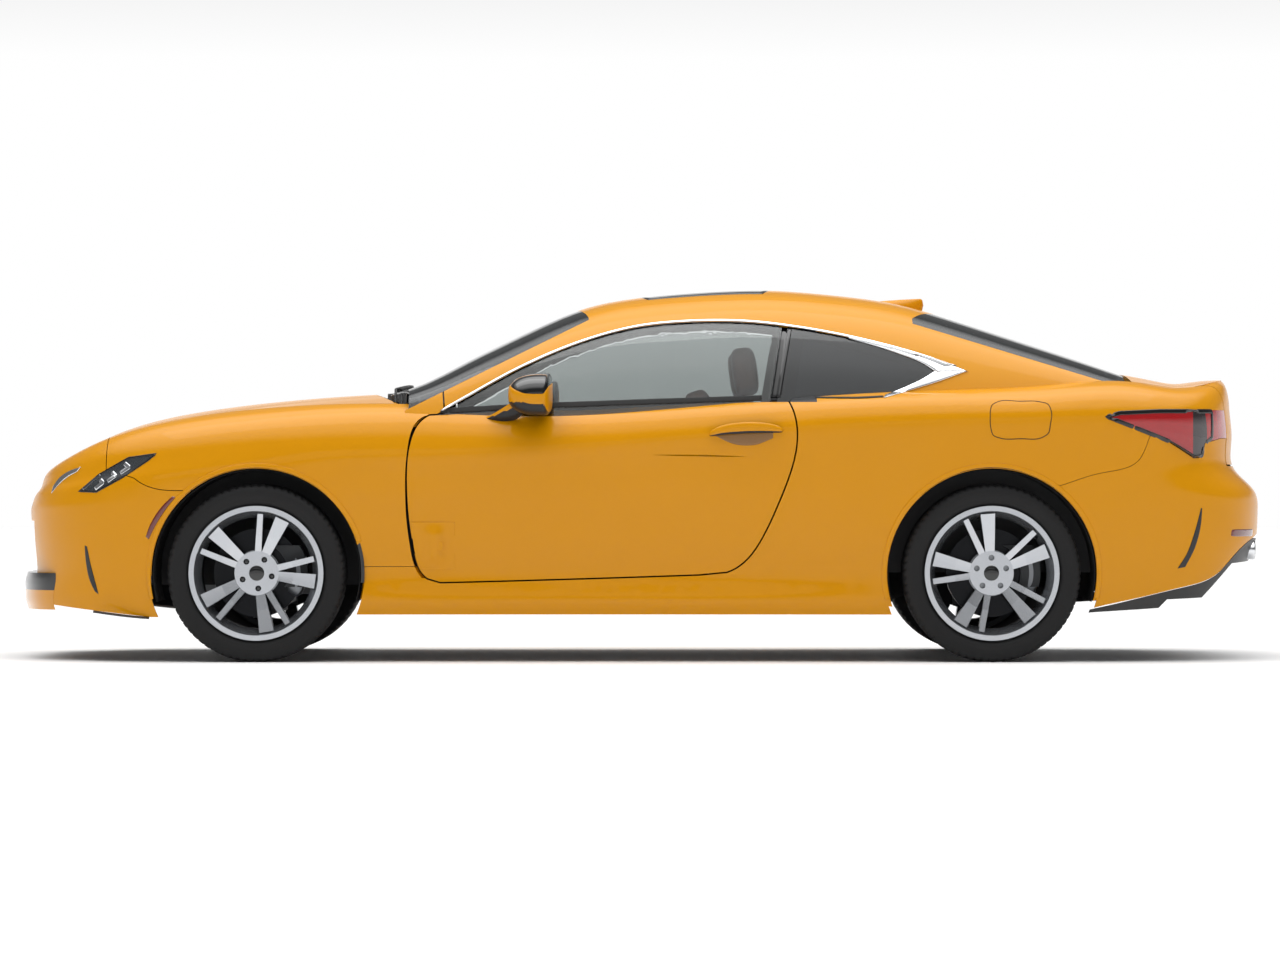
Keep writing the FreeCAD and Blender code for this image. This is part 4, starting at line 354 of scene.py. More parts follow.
def skin_place(skin, axis, side, first, one, two):
    """Place on an axis where rays shot along it from one side meet the skin; a miss keeps the last hit."""
    way = [0.0, 0.0, 0.0]
    way[axis] = -side
    found, last = [], first
    for a, b in zip(np.ravel(one), np.ravel(two)):
        start = [a, b]
        start.insert(axis, side * FAR)
        hit = skin.ray_cast(Vector(start), Vector(way))[0]
        last = hit[axis] if hit is not None else last
        found.append(last)
    return np.array(found).reshape(np.shape(one))


LEFT_FLANK = skin_of([
    "body_side_left", "door_left", "fender_left", "front_bumper", "rear_bumper", "door_glass_left",
    "quarter_glass_left", "headlamp_left", "tail_lamp_left", "boot_lid", "hood", "rear_diffuser",
])


def flank_y(x, z):
    """Y of the car's left skin at every x, z pair."""
    return skin_place(LEFT_FLANK, 1, -1.0, -0.85, x, z)


print("left skin over the front axle at y", flank_y([FRONT_AXLE_X], [0.75]).round(3))


# %% [markdown]
# ## Making meshes
# Three makers serve all pieces. A sheet is a grid of points. A band is a small cross-section carried
# along a path, as a seal or a chrome strip is extruded and bent. A patch is a sheet between two picture
# lines laid on the flank. Each one is mirrored for the right side, with its faces turned outwards again.

# %% Mesh makers
CONCEALED = 0.002
MERGE_WITHIN = 1e-6


def put_mesh(name, points, faces, finish, body, smooth=True):
    """A new piece from points and faces, doubles merged and faces turned outwards, carried by a body."""
    mesh = bpy.data.meshes.new(name)
    mesh.from_pydata(np.asarray(points).reshape(-1, 3).tolist(), [], faces)
    mesh.validate()
    work = bmesh.new()
    work.from_mesh(mesh)
    bmesh.ops.remove_doubles(work, verts=work.verts, dist=MERGE_WITHIN)
    bmesh.ops.recalc_face_normals(work, faces=work.faces)
    work.to_mesh(mesh)
    work.free()
    mesh.polygons.foreach_set("use_smooth", [smooth] * len(mesh.polygons))
    mesh.materials.append(finish)
    piece = bpy.data.objects.new(name, mesh)
    bpy.context.scene.collection.objects.link(piece)
    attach(piece, body)
    return piece


def grid_faces(rows, columns, wrap_rows=False, wrap_columns=False):
    """Quads of a grid of points; a wrapped direction joins its last line to its first."""
    index = np.arange(rows * columns).reshape(rows, columns)
    down = np.roll(index, -1, axis=0)
    right = np.roll(index, -1, axis=1)
    both = np.roll(down, -1, axis=1)
    keep = np.ones((rows, columns), bool)
    if not wrap_rows:
        keep[-1, :] = False
    if not wrap_columns:
        keep[:, -1] = False
    return np.stack([index[keep], down[keep], both[keep], right[keep]], axis=1).tolist()


def tube_faces(grid):
    """Faces of a tube, one ring of points per row of the grid, with both ends closed."""
    rows, columns = grid.shape[:2]
    ends = [list(range(columns)), list(range((rows - 1) * columns, rows * columns))]
    return grid_faces(rows, columns, False, True) + ends


def slab(outer, inner):
    """Points and faces of a slab: outer grid, inner grid with its faces turned, and walls round the rim."""
    rows, columns = outer.shape[:2]
    half = rows * columns
    faces = grid_faces(rows, columns)
    back = [[half + v for v in reversed(face)] for face in faces]
    index = np.arange(half).reshape(rows, columns)
    rim = np.concatenate([index[0, :], index[1:, -1], index[-1, -2::-1], index[-2:0:-1, 0]])
    walls = [[int(a), int(b), int(b) + half, int(a) + half] for a, b in zip(rim, np.roll(rim, -1))]
    return np.concatenate([outer.reshape(-1, 3), inner.reshape(-1, 3)]), faces + back + walls


def smooth_line(places, count):
    """Points spread evenly along a chain of places, eased through each place by a cubic."""
    places = np.asarray(places, float)
    steps = np.r_[0.0, np.cumsum(np.linalg.norm(np.diff(places, axis=0), axis=1))]
    slopes = np.gradient(places, steps, axis=0)
    wanted = np.linspace(0.0, steps[-1], count)
    k = np.clip(np.searchsorted(steps, wanted, side="right") - 1, 0, len(places) - 2)
    span = (steps[k + 1] - steps[k])[:, None]
    t = (wanted - steps[k])[:, None] / span
    return ((2 * t**3 - 3 * t**2 + 1) * places[k] + (t**3 - 2 * t**2 + t) * span * slopes[k]
            + (3 * t**2 - 2 * t**3) * places[k + 1] + (t**3 - t**2) * span * slopes[k + 1])


def straight_line(places, count):
    """Points spread evenly along a chain of places, straight from each to the next."""
    places = np.asarray(places, float)
    steps = np.r_[0.0, np.cumsum(np.linalg.norm(np.diff(places, axis=0), axis=1))]
    wanted = np.linspace(0.0, steps[-1], count)
    return np.stack([np.interp(wanted, steps, places[:, k]) for k in range(places.shape[1])], axis=1)


def both_flanks(name, points, faces, finish, body, slot=None):
    """The left piece and its mirror image, which rides on the right body; the slot is not used."""
    points = np.asarray(points).reshape(-1, 3)
    mirrored = points * np.array([1.0, -1.0, 1.0])
    pair = [put_mesh(name + "_left", points, faces, finish, body),
            put_mesh(name + "_right", mirrored, faces, finish, body.replace("left", "right"))]
    return pair


def section_band(path, normals, outline, closed=False):
    """Grid of a band: the outline (across, out) is set along the path by its normal and its cross way."""
    ways = np.gradient(path, axis=0)
    if closed:
        ways = np.roll(path, -1, axis=0) - np.roll(path, 1, axis=0)
    ways /= np.linalg.norm(ways, axis=1)[:, None]
    normals = normals - (normals * ways).sum(axis=1)[:, None] * ways
    normals /= np.linalg.norm(normals, axis=1)[:, None]
    across = np.cross(normals, ways)
    outline = np.asarray(outline)
    return (path[:, None, :] + across[:, None, :] * outline[None, :, :1]
            + normals[:, None, :] * outline[None, :, 1:])


def rounded_strip(width, rise):
    """Section of a strip: square roots of sine and cosine make a flat arch, its foot sunk in the skin."""
    turn = np.linspace(0.0, math.pi, 11)
    x = np.sign(np.cos(turn)) * np.sqrt(np.abs(np.cos(turn))) * width / 2
    top = np.sqrt(np.abs(np.sin(turn))) * rise
    return [(-width / 2, -CONCEALED)] + [(-a, b) for a, b in zip(x, top)] + [(width / 2, -CONCEALED)]


SLOPE_STEP = 0.004
SLOPE_LIMIT = 2.5


def flank_strip(name, line_px, width, rise, finish, body, count=90, closed=False, curve=True, slot=None):
    """A strip along a picture line on the flank: Y comes from the skin, the skin's slopes give its normal."""
    line = (smooth_line if curve else straight_line)(line_px, count)
    if closed:
        line = line[:-1]
    x, z = side_place(line[:, 0], line[:, 1])
    y = flank_y(x, z)
    path = np.stack([x, y, z], axis=1)
    slope_x = (flank_y(x + SLOPE_STEP, z) - flank_y(x - SLOPE_STEP, z)) / (2 * SLOPE_STEP)
    slope_z = (flank_y(x, z + SLOPE_STEP) - flank_y(x, z - SLOPE_STEP)) / (2 * SLOPE_STEP)
    slope_x, slope_z = (np.clip(slope, -SLOPE_LIMIT, SLOPE_LIMIT) for slope in (slope_x, slope_z))
    normals = np.stack([slope_x, -np.ones_like(x), slope_z], axis=1)
    grid = section_band(path, normals, rounded_strip(width, rise), closed)
    faces = grid_faces(*grid.shape[:2], True, True) if closed else tube_faces(grid)
    both_flanks(name, grid, faces, finish, body, slot)


def flank_patch(name, upper_px, lower_px, proud, crown, finish, body, rows=12, columns=40, curve=True):
    """A plate between two picture lines, laid on the flank: its middle stands crown above its rim."""
    line = smooth_line if curve else straight_line
    upper, lower = line(upper_px, columns), line(lower_px, columns)
    share = np.linspace(0.0, 1.0, rows)[:, None, None]
    places = upper[None] * (1 - share) + lower[None] * share
    x, z = side_place(places[..., 0], places[..., 1])
    along = np.linspace(0.0, 1.0, columns)[None, :]
    bulge = (4 * share[..., 0] * (1 - share[..., 0])) ** 0.4 * (4 * along * (1 - along)) ** 0.25
    y = flank_y(x, z)
    outer = np.stack([x, y - proud - crown * bulge, z], axis=-1)
    inner = np.stack([x, y + CONCEALED, z], axis=-1)
    both_flanks(name, *slab(outer, inner), finish, body)


print("mesh makers ready")


# %% [markdown]
# ## Tyres
# A tyre is a carcass of revolution with a moulded tread: four grooves run round it and slanted cuts
# cross its shoulders. The profile is one rounded section, so the surface is a function of the turn
# about the axle and of the place along that profile; grooves lower the tread where they pass.

# %% Tyres with tread
TYRE_RADIUS = 0.330
BEAD_RADIUS = 0.252
TREAD_HALF = 0.096
GROOVE_PLACES = (-0.062, -0.021, 0.021, 0.062)
GROOVE_HALF = 0.0045
GROOVE_DEPTH = 0.007
TREAD_RADIUS = 0.322
WALL_CUT_RADIUS = 0.314
BLEND = 0.004
SHOULDER_FROM = 0.068
SHOULDER_CUTS = 72
SHOULDER_DEPTH = 0.0025
WALL_LINE_RADII = (0.300, 0.268)
WALL_LINE = 0.0012
TURN_STEPS = 432
PROFILE_STEPS = 110


def tyre_profile():
    """Radius and width of the tyre section: a flat tread, round shoulders, a bulged wall and a bead."""
    wall = [(BEAD_RADIUS, 0.100), (0.258, 0.107), (0.272, 0.1125), (0.290, 0.1165), (0.306, 0.1160),
            (0.318, 0.1110), (0.3255, 0.1040), (0.3285, TREAD_HALF)]
    flat = [(TYRE_RADIUS, share * TREAD_HALF) for share in (0.66, 0.33, 0.0)]
    half = wall + flat
    full = half + [(r, -w) for r, w in reversed(half[:-1])]
    return smooth_line(full, PROFILE_STEPS)


def make_tyre(name, node, body):
    """Tyre surface: the profile turned about the axle; grooves and cuts lower the radius on the tread."""
    low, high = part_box(node)
    centre = [(a + b) / 2 for a, b in zip(low, high)]
    profile = tyre_profile()
    turn = np.linspace(0.0, 2 * math.pi, TURN_STEPS, endpoint=False)[:, None]
    radius, width = profile[:, 0][None, :], profile[:, 1][None, :]
    radius = np.minimum(radius, TYRE_RADIUS)
    on_tread = np.clip((radius - TREAD_RADIUS) / BLEND, 0.0, 1.0)
    groove = np.zeros_like(width)
    for place in GROOVE_PLACES:
        groove = np.maximum(groove, np.clip(1.6 - np.abs(width - place) / GROOVE_HALF, 0.0, 1.0))
    slant = np.abs(width) * 9.0
    phase = (turn * SHOULDER_CUTS / (2 * math.pi) + slant + (width > 0) * 0.5) % 1.0
    cut = np.clip(2.4 - np.abs(phase - 0.5) * 16.0, 0.0, 1.0) * (np.abs(width) > SHOULDER_FROM)
    near_tread = np.clip((radius - WALL_CUT_RADIUS) / BLEND, 0.0, 1.0)
    wall_cut = np.clip(2.4 - np.abs(phase - 0.5) * 12.0, 0.0, 1.0) * near_tread
    bead_lines = [np.exp(-((radius - place) / WALL_LINE) ** 2) for place in WALL_LINE_RADII]
    ring = WALL_LINE * sum(bead_lines)
    sunk = on_tread * GROOVE_DEPTH * np.maximum(groove, 0.8 * cut)
    lowered = radius - sunk - SHOULDER_DEPTH * wall_cut * (1 - on_tread)
    side = width + np.sign(width) * ring * (np.abs(width) > 0.1)
    points = np.stack([
        centre[0] + lowered * np.cos(turn), centre[1] + np.broadcast_to(side, lowered.shape),
        centre[2] + lowered * np.sin(turn)], axis=-1)
    faces = grid_faces(TURN_STEPS, PROFILE_STEPS, True, True)
    piece = put_mesh(name, points, faces, tyre_rubber, body)
    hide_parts(node)
    return centre


# %% [markdown]
# ## Wheel fittings
# Each rim is bolted by five nuts on a circle and closed by a plain cap. Behind the spokes sit the brake
# disc, which is part of the CAD knuckle or axle, and its caliper. Cap, ring and nuts are lathe work, so
# each is a profile turned about the axle; a nut has only six steps of turn and flat faces.

# %% Caps, nuts and calipers
CAP_RADIUS = 0.031
NUT_CIRCLE = 0.05715
NUT_RADIUS = 0.0105
NUTS = 5
FIRST_NUT_DEG = 60.0
FACE = 0.070
CAP_PROFILE = (
    (0.0, FACE + 0.006), (0.010, FACE + 0.0058), (0.020, FACE + 0.0048), (0.027, FACE + 0.003),
    (0.0300, FACE + 0.0008), (CAP_RADIUS, FACE - 0.003), (CAP_RADIUS, FACE - 0.022), (0.0, FACE - 0.022),
)
RING_PROFILE = (
    (CAP_RADIUS + 0.0005, FACE - 0.004), (CAP_RADIUS + 0.001, FACE + 0.001),
    (CAP_RADIUS + 0.003, FACE + 0.002), (CAP_RADIUS + 0.005, FACE), (CAP_RADIUS + 0.0055, FACE - 0.006),
)
NUT_PROFILE = (
    (0.0, FACE - 0.008), (0.006, FACE - 0.0082), (0.0085, FACE - 0.0095), (NUT_RADIUS, FACE - 0.013),
    (NUT_RADIUS, FACE - 0.040), (0.0, FACE - 0.040),
)


def turned_surface(profile, centre, side, steps=48):
    """Surface of revolution about an axle: pairs of radius and depth, the depth outwards from the centre."""
    profile = np.asarray(profile)
    turn = np.linspace(0.0, 2 * math.pi, steps, endpoint=False)[:, None]
    return np.stack([
        centre[0] + profile[:, 0][None] * np.cos(turn),
        np.broadcast_to(centre[1] + side * profile[:, 1][None], (steps, len(profile))),
        centre[2] + profile[:, 0][None] * np.sin(turn)], axis=-1)


def make_wheel_fittings(place, body, centre, side):
    """Cap, ring and nuts of one wheel: turned profiles, the nuts spread evenly round the bolt circle."""
    grid = turned_surface(CAP_PROFILE, centre, side)
    put_mesh("wheel_cap_" + place, grid, grid_faces(*grid.shape[:2], True, False), gloss_black, body)
    grid = turned_surface(RING_PROFILE, centre, side)
    put_mesh("cap_ring_" + place, grid, grid_faces(*grid.shape[:2], True, True), machined, body)
    points, faces = [], []
    for k in range(NUTS):
        turn = math.radians(FIRST_NUT_DEG + 360.0 / NUTS * k)
        spot = (centre[0] + NUT_CIRCLE * math.cos(turn), centre[1], centre[2] + NUT_CIRCLE * math.sin(turn))
        grid = turned_surface(NUT_PROFILE, spot, side, 6)
        start = len(points)
        points.extend(grid.reshape(-1, 3).tolist())
        faces.extend([[start + v for v in quad] for quad in grid_faces(*grid.shape[:2], True, False)])
    put_mesh("lug_nuts_" + place, points, faces, gloss_black, body, smooth=False)


CALIPER_HALF_DEG = 32.0
CALIPER_INSET = 0.022
CALIPER_SECTION = ((0.118, 0.026), (0.150, 0.034), (0.176, 0.030), (0.182, 0.012), (0.182, -0.030),
                   (0.150, -0.040), (0.118, -0.032))


def make_caliper(place, body, centre, side):
    """Caliper: a section of radius and depth carried along an arc round the disc, smaller at both ends."""
    turn = np.radians(np.linspace(-CALIPER_HALF_DEG, CALIPER_HALF_DEG, 33))
    swell = np.clip(1.0 - (np.abs(turn) / turn[-1]) ** 6, 0.0, 1.0)[:, None]
    section = np.array(CALIPER_SECTION)
    middle = section.mean(axis=0)
    shape = middle + (section[None] - middle) * (0.55 + 0.45 * swell)[..., None]
    points = np.stack([
        centre[0] + shape[..., 0] * np.cos(turn)[:, None],
        centre[1] + side * (shape[..., 1] - CALIPER_INSET),
        centre[2] + shape[..., 0] * np.sin(turn)[:, None]], axis=-1)
    piece = put_mesh("caliper_" + place, points, tube_faces(points), engine_metal, body)
    bevel = piece.modifiers.new("rounded_edges", "BEVEL")
    bevel.width = 0.003
    bevel.segments = 2
    bevel.limit_method = "ANGLE"
    bevel.angle_limit = math.radians(30.0)


for end in ("front", "rear"):
    for hand, side in (("left", -1.0), ("right", 1.0)):
        place = end + "_" + hand
        wheel_body = "wheel_" + place
        wheel_centre = make_tyre("tyre_" + place + "_tread", "tyre_" + place, wheel_body)
        make_wheel_fittings(place, wheel_body, wheel_centre, side)
        carrier = "knuckle_" + hand if end == "front" else "body"
        make_caliper(place, carrier, wheel_centre, side)
print("tyres and wheel fittings made")

# %% [markdown]
# ## Flank details
# The side of the car carries a bright strip round the windows, a black post between the panes, the
# handles in their scoops, the fuel flap, lamp surrounds, markers and vents. Each is laid on the skin
# where the picture shows it.

# %% Bright strip, post cover and black edges
# Stainless steel, polished: nearly white, with a sharp but not perfect reflection.
bright_steel, _ = new_finish("polished_stainless_steel", {
    "Base Color": linear("D8DADD"), "Metallic": 1.0, "Roughness": 0.16})
BELT_SEAL_PX = ((440, 411.2), (480, 408.8), (520, 406.6), (600, 403.4), (700, 399.9), (762, 397.9))
TOP_BRIGHT_PX = (
    (440, 411.0), (470, 394.0), (511, 371.0), (548, 353.2), (585, 338.8), (637, 324.8),
    (694, 319.3), (752, 320.0), (800, 325.8), (860, 337.3), (915, 351.8), (958, 366.0),
)
REAR_SEAL_PX = ((816, 397.5), (835, 397.8), (860, 397.8), (884, 396.6))
ARROW_OUTER_PX = ((850, 334.3), (900, 346.6), (940, 359.4), (970, 370.8))
ARROW_INNER_PX = ((850, 336.8), (900, 352.6), (926, 363.4), (937, 370.9))
ARROW_HIND_PX = ((970, 370.4), (942, 380.8), (912, 390.0), (884, 397.8))
ARROW_FORE_PX = ((937, 370.2), (924, 378.2), (908, 386.0), (886, 394.6))
# A strip is given by name, picture line, width, rise, finish, body and the number of steps along it.
flank_strip("bright_strip_top", TOP_BRIGHT_PX, 0.0095, 0.004, bright_steel, "body", 160)
flank_strip("belt_seal", BELT_SEAL_PX, 0.022, 0.003, seal_rubber, "door_left", 90)
flank_strip("rear_belt_seal", REAR_SEAL_PX, 0.014, 0.003, seal_rubber, "body", 40)
# A patch is given by name, its two picture lines, how proud it is, the height of its crown, finish, body,
# and the number of steps across and along it.
flank_patch("bright_arrow_upper", ARROW_OUTER_PX, ARROW_INNER_PX, 0.004, 0.0015, bright_steel, "body", 8, 40)
flank_patch("bright_arrow_lower", ARROW_HIND_PX, ARROW_FORE_PX, 0.004, 0.0015, bright_steel, "body", 8, 30)

POST_FORE_PX = ((782.3, 325.5), (770.4, 397.6))
POST_AFT_PX = ((793.5, 327.0), (781.4, 397.0))
flank_patch("post_cover", POST_FORE_PX, POST_AFT_PX, 0.002, 0.001, gloss_black, "body", 8, 30, curve=False)
print("window trim made")

# %% Handles and their scoops
SCOOP_UPPER_PX = ((715, 431.0), (735, 427.0), (755, 426.6), (773, 429.5))
SCOOP_LOWER_PX = ((715, 436.0), (735, 444.6), (755, 445.2), (773, 438.5))
HANDLE_PX = ((709, 434.6), (720, 431.0), (740, 428.4), (760, 428.0), (774, 429.0), (783, 430.6))
# The scoop is pressed into the door on the real car; here a thin sheet on the door skin stands for it, and
# its darker basecoat is painted shade.
shaded_paint, _ = new_finish("painted_shade_inside_the_scoop", {
    "Base Color": linear("7A5000"), "Roughness": 0.3, "IOR": 1.5, "Coat Weight": 0.5, "Coat Roughness": 0.05})
# The dark colour of this sheet over the door is painted shade of the scoop, not a colour of the door.
flank_patch("painted_scoop_shade", SCOOP_UPPER_PX, SCOOP_LOWER_PX, 0.0012, 0.0, shaded_paint, "door_left", 10, 30)


HANDLE_ROOT = 0.004
HANDLE_REACH = 0.026
HANDLE_TIP = 0.003
HANDLE_TALL = 0.0180
HANDLE_DEEP = 0.0045


def make_handle():
    """Grip bar: an oval section that swells in the middle and dips to the door at both ends."""
    line = smooth_line(HANDLE_PX, 60)
    x, z = side_place(line[:, 0], line[:, 1])
    share = np.linspace(0.0, 1.0, len(line))
    arch = np.clip(4 * share * (1 - share), 0.0, 1.0) ** 0.45
    stand = HANDLE_ROOT + HANDLE_REACH * arch
    path = np.stack([x, flank_y(x, z) - stand, z], axis=1)
    turn = np.linspace(0.0, 2 * math.pi, 20, endpoint=False)
    tall = HANDLE_TIP + HANDLE_TALL * arch
    deep = HANDLE_TIP + HANDLE_DEEP * arch
    deep_way, tall_way = np.outer(deep, np.cos(turn)), np.outer(tall, np.sin(turn))
    grid = path[:, None, :] + np.stack([np.zeros_like(deep_way), deep_way, tall_way], axis=-1)
    both_flanks("door_handle", grid, tube_faces(grid), paint, "door_left", "body_paint")


make_handle()
print("handles made")

# %% Fuel flap, seams, markers and vents
# A joint between painted panels is a slot too narrow to light: a matt, nearly black brown.
joint_black, _ = new_finish("shadowed_panel_joint", {"Base Color": linear("2B1C05"), "Roughness": 0.8})
FLAP_PX = (
    (990, 412), (992, 405.5), (998, 402), (1020, 401.4), (1040, 402), (1048, 404.5), (1051, 411), (1050, 425),
    (1048, 433.5), (1042, 437.6), (1020, 439), (1000, 438.4), (993, 435.5), (990.5, 428), (990, 412),
)
flank_strip("fuel_flap_joint", FLAP_PX, 0.0035, 0.0004, joint_black, "body", 120, closed=True)
# Acrylic marker lens, unlit: dark red under a glossy face.
marker_red, _ = new_finish("dark_red_marker_lens", {
    "Base Color": linear("5E0F08"), "Roughness": 0.12, "IOR": 1.49, "Coat Weight": 1.0})
MARKER_FORE_PX = ((172.5, 496.5), (163, 505.5), (155, 516), (149, 527), (145.5, 537))
MARKER_AFT_PX = ((175.5, 497.5), (168, 506.5), (160, 518), (153, 530), (148.5, 539.5))
flank_patch("side_marker", MARKER_FORE_PX, MARKER_AFT_PX, 0.0012, 0.0015, marker_red, "body", 6, 30)
SLIT_FORE_PX = ((81.5, 546), (83, 565), (87, 582), (92, 592))
SLIT_AFT_PX = ((84.0, 547), (88, 566), (93, 584), (96, 595))
flank_patch("bumper_slit", SLIT_FORE_PX, SLIT_AFT_PX, 0.0012, 0.0, abs_trim, "body", 6, 30)
VENT_FORE_PX = ((1203.0, 508), (1196.5, 532), (1188, 555), (1179, 569))
VENT_AFT_PX = ((1204.2, 509), (1202.5, 527), (1196.5, 549), (1187, 567.5))
flank_patch("rear_vent", VENT_FORE_PX, VENT_AFT_PX, 0.0012, 0.0, abs_trim, "body", 8, 30)
print("fuel flap joint, markers, slits and vents made")

# %% Arch lips, grille edge and chin
ARCH_LIP_RADIUS = 0.400
ARCH_LIP_DEG = (-14.0, 194.0)


def arch_line_px(axle_x):
    """Picture places of an arc round an axle, so that it can be laid on the flank as any line is."""
    turn = np.radians(np.linspace(*ARCH_LIP_DEG, 80))
    x, z = axle_x + ARCH_LIP_RADIUS * np.cos(turn), TYRE_RADIUS + ARCH_LIP_RADIUS * np.sin(turn)
    return np.stack([PLUMB_PX + (x - PLUMB_X) / SIDE_SCALE, GROUND_PX - z / SIDE_RISE], axis=1)


for end, axle_x in (("front", FRONT_AXLE_X), ("rear", REAR_AXLE_X)):
    flank_strip("arch_lip_" + end, arch_line_px(axle_x), 0.018, 0.003, paint, "body", 160, slot="body_paint")
GRILLE_EDGE_UPPER_PX = ((44.5, 486), (52, 477.5), (62, 471.5), (76, 467.0))
GRILLE_EDGE_LOWER_PX = ((43.5, 494), (50, 486.0), (60, 478.0), (72, 471.8))
flank_patch("grille_edge", GRILLE_EDGE_UPPER_PX, GRILLE_EDGE_LOWER_PX, 0.003, 0.002, bright_steel, "body",
            8, 24)
CHIN_PX = ((92, 612.0), (110, 614.6), (130, 617.0), (148, 618.6))
flank_strip("chin_strip", CHIN_PX, 0.014, 0.003, abs_trim, "body", 30)
print("arch lips at radius", ARCH_LIP_RADIUS, "m")

# %% Lamp surrounds and inner parts
LAMP_EDGE_PX = (
    (1107, 417), (1120, 413.2), (1160, 411.3), (1216, 411.0), (1216.5, 424), (1216, 437.5), (1208, 444),
    (1204.5, 456.5), (1196, 457.0), (1170, 441.5), (1148, 432.8), (1107, 417),
)
flank_strip("tail_lamp_surround", LAMP_EDGE_PX, 0.016, 0.0025, gloss_black, "body", 140, closed=True,
            curve=False)
HEADLAMP_EDGE_PX = (
    (76, 491.5), (96, 475), (127, 458), (155, 454.2), (147, 460.6), (122, 477.2), (94, 492.2), (76, 491.5),
)
flank_strip("headlamp_surround", HEADLAMP_EDGE_PX, 0.007, 0.002, gloss_black, "body", 140, closed=True,
            curve=False)
LED_ROWS_PX = (
    ((93, 489.0), (101, 483.0), (98, 480.0)), ((106, 481.5), (114, 476.0), (110, 472.5)),
    ((119, 473.5), (128, 467.5), (123, 463.5)),
)
for number, row in enumerate(LED_ROWS_PX):
    flank_strip("headlamp_light_" + str(number + 1), row, 0.016, 0.0035, bright_steel, "body", 16,
                curve=False)
DAYLIGHT_PX = ((80, 489.5), (90, 481.0), (98, 475.5))
flank_strip("headlamp_daylight", DAYLIGHT_PX, 0.012, 0.0035, clear_lens, "body", 20)
print("lamp edges and lights made")

# %% [markdown]
# ## Rear plate, exhausts and reflectors
# The tail carries a blank plate on a dark carrier, two oval exhaust ends in the diffuser and a slim red
# reflector at each side. The plate and reflectors are sheets laid on the skin by rays from behind; an
# exhaust end is a tube profile turned about its own axis and widened sideways.

# %% Tail fittings
TAIL_SKIN = skin_of(["boot_lid", "rear_bumper", "rear_diffuser", "tail_lamp_left", "tail_lamp_right"])


PLATE_RINGS = 9
PLATE_STEPS = 48
PLATE_EDGE_DROP = 0.0008
PLATE_Z = 0.735
CARRIER_HALVES = (0.190, 0.078)
PLATE_HALVES = (0.166, 0.062)
REFLECTOR_HALVES = (0.085, 0.013)
REFLECTOR_Y = 0.640
REFLECTOR_Z = 0.478


def tail_plate(name, middle, halves, proud, finish, body):
    """Plate seen from behind: rings of a circle squared by a fourth root, laid on the rear skin by rays."""
    ring = np.linspace(0.0, 1.0, PLATE_RINGS)[:, None]
    turn = np.linspace(0.0, 2 * math.pi, PLATE_STEPS, endpoint=False)[None, :]
    cosine, sine = np.cos(turn), np.sin(turn)
    y = middle[0] + halves[0] * ring * np.sign(cosine) * np.abs(cosine) ** 0.25
    z = middle[1] + halves[1] * ring * np.sign(sine) * np.abs(sine) ** 0.25
    skin = skin_place(TAIL_SKIN, 0, 1.0, 2.2, y, z)
    lift = np.full((PLATE_RINGS, 1), proud)
    lift[-1] -= PLATE_EDGE_DROP
    outer = np.stack([skin + lift, y, z], axis=-1)
    inner = np.stack([skin - CONCEALED, y, z], axis=-1)[::-1]
    faces = grid_faces(2 * PLATE_RINGS, PLATE_STEPS, True, True)
    put_mesh(name, np.concatenate([outer, inner]), faces, finish, body)


# Aluminium sheet under a reflective film, left blank: an even, slightly sparkling white.
plate_sheet, _ = new_finish("blank_reflective_plate_sheet", {
    "Base Color": linear("E6E7E4"), "Roughness": 0.35, "IOR": 1.5}, (0.5, 0.01))
tail_plate("plate_carrier", (0.0, PLATE_Z), CARRIER_HALVES, 0.004, abs_trim, "boot_lid")
tail_plate("rear_plate_blank", (0.0, PLATE_Z), PLATE_HALVES, 0.006, plate_sheet, "boot_lid")
for hand, side in (("left", -1.0), ("right", 1.0)):
    middle = (side * REFLECTOR_Y, REFLECTOR_Z)
    tail_plate("rear_reflector_" + hand, middle, REFLECTOR_HALVES, 0.003, marker_red, "body")
print("blank plate of", 2 * PLATE_HALVES[0], "m width and two reflectors made")

# %% Exhaust ends
EXHAUST_STEPS = 40
EXHAUST_Y = 0.480
EXHAUST_Z = 0.412
EXHAUST_WIDENED = 1.45
EXHAUST_SECTION = np.array([
    (2.240, 0.034), (2.300, 0.036), (2.312, 0.037), (2.318, 0.0355), (2.314, 0.0335), (2.290, 0.0325),
    (2.262, 0.031), (2.260, 0.0), (2.240, 0.0),
])


def make_exhaust(hand, side):
    """Oval tube end: pairs of X and radius, outer wall first, turned about the X axis and widened in Y."""
    place, radius = EXHAUST_SECTION.T[:, None, :]
    turn = np.linspace(0.0, 2 * math.pi, EXHAUST_STEPS, endpoint=False)[:, None]
    y = side * EXHAUST_Y + EXHAUST_WIDENED * radius * np.cos(turn)
    points = np.stack([np.broadcast_to(place, y.shape), y, EXHAUST_Z + radius * np.sin(turn)], axis=-1)
    put_mesh("exhaust_end_" + hand, points, grid_faces(*y.shape, True, True), bright_steel, "body")


make_exhaust("left", -1.0)
make_exhaust("right", 1.0)
print("exhaust ends made")

# %% [markdown]
# ## Hinge covers
# The lower door hinge stands a little outside the skin, because the axis has to lie near the outer
# surface for the door to swing clear of the wing. A pressed cover in body colour closes it: a thin
# plate whose height over the door follows a bell curve across the knuckle.

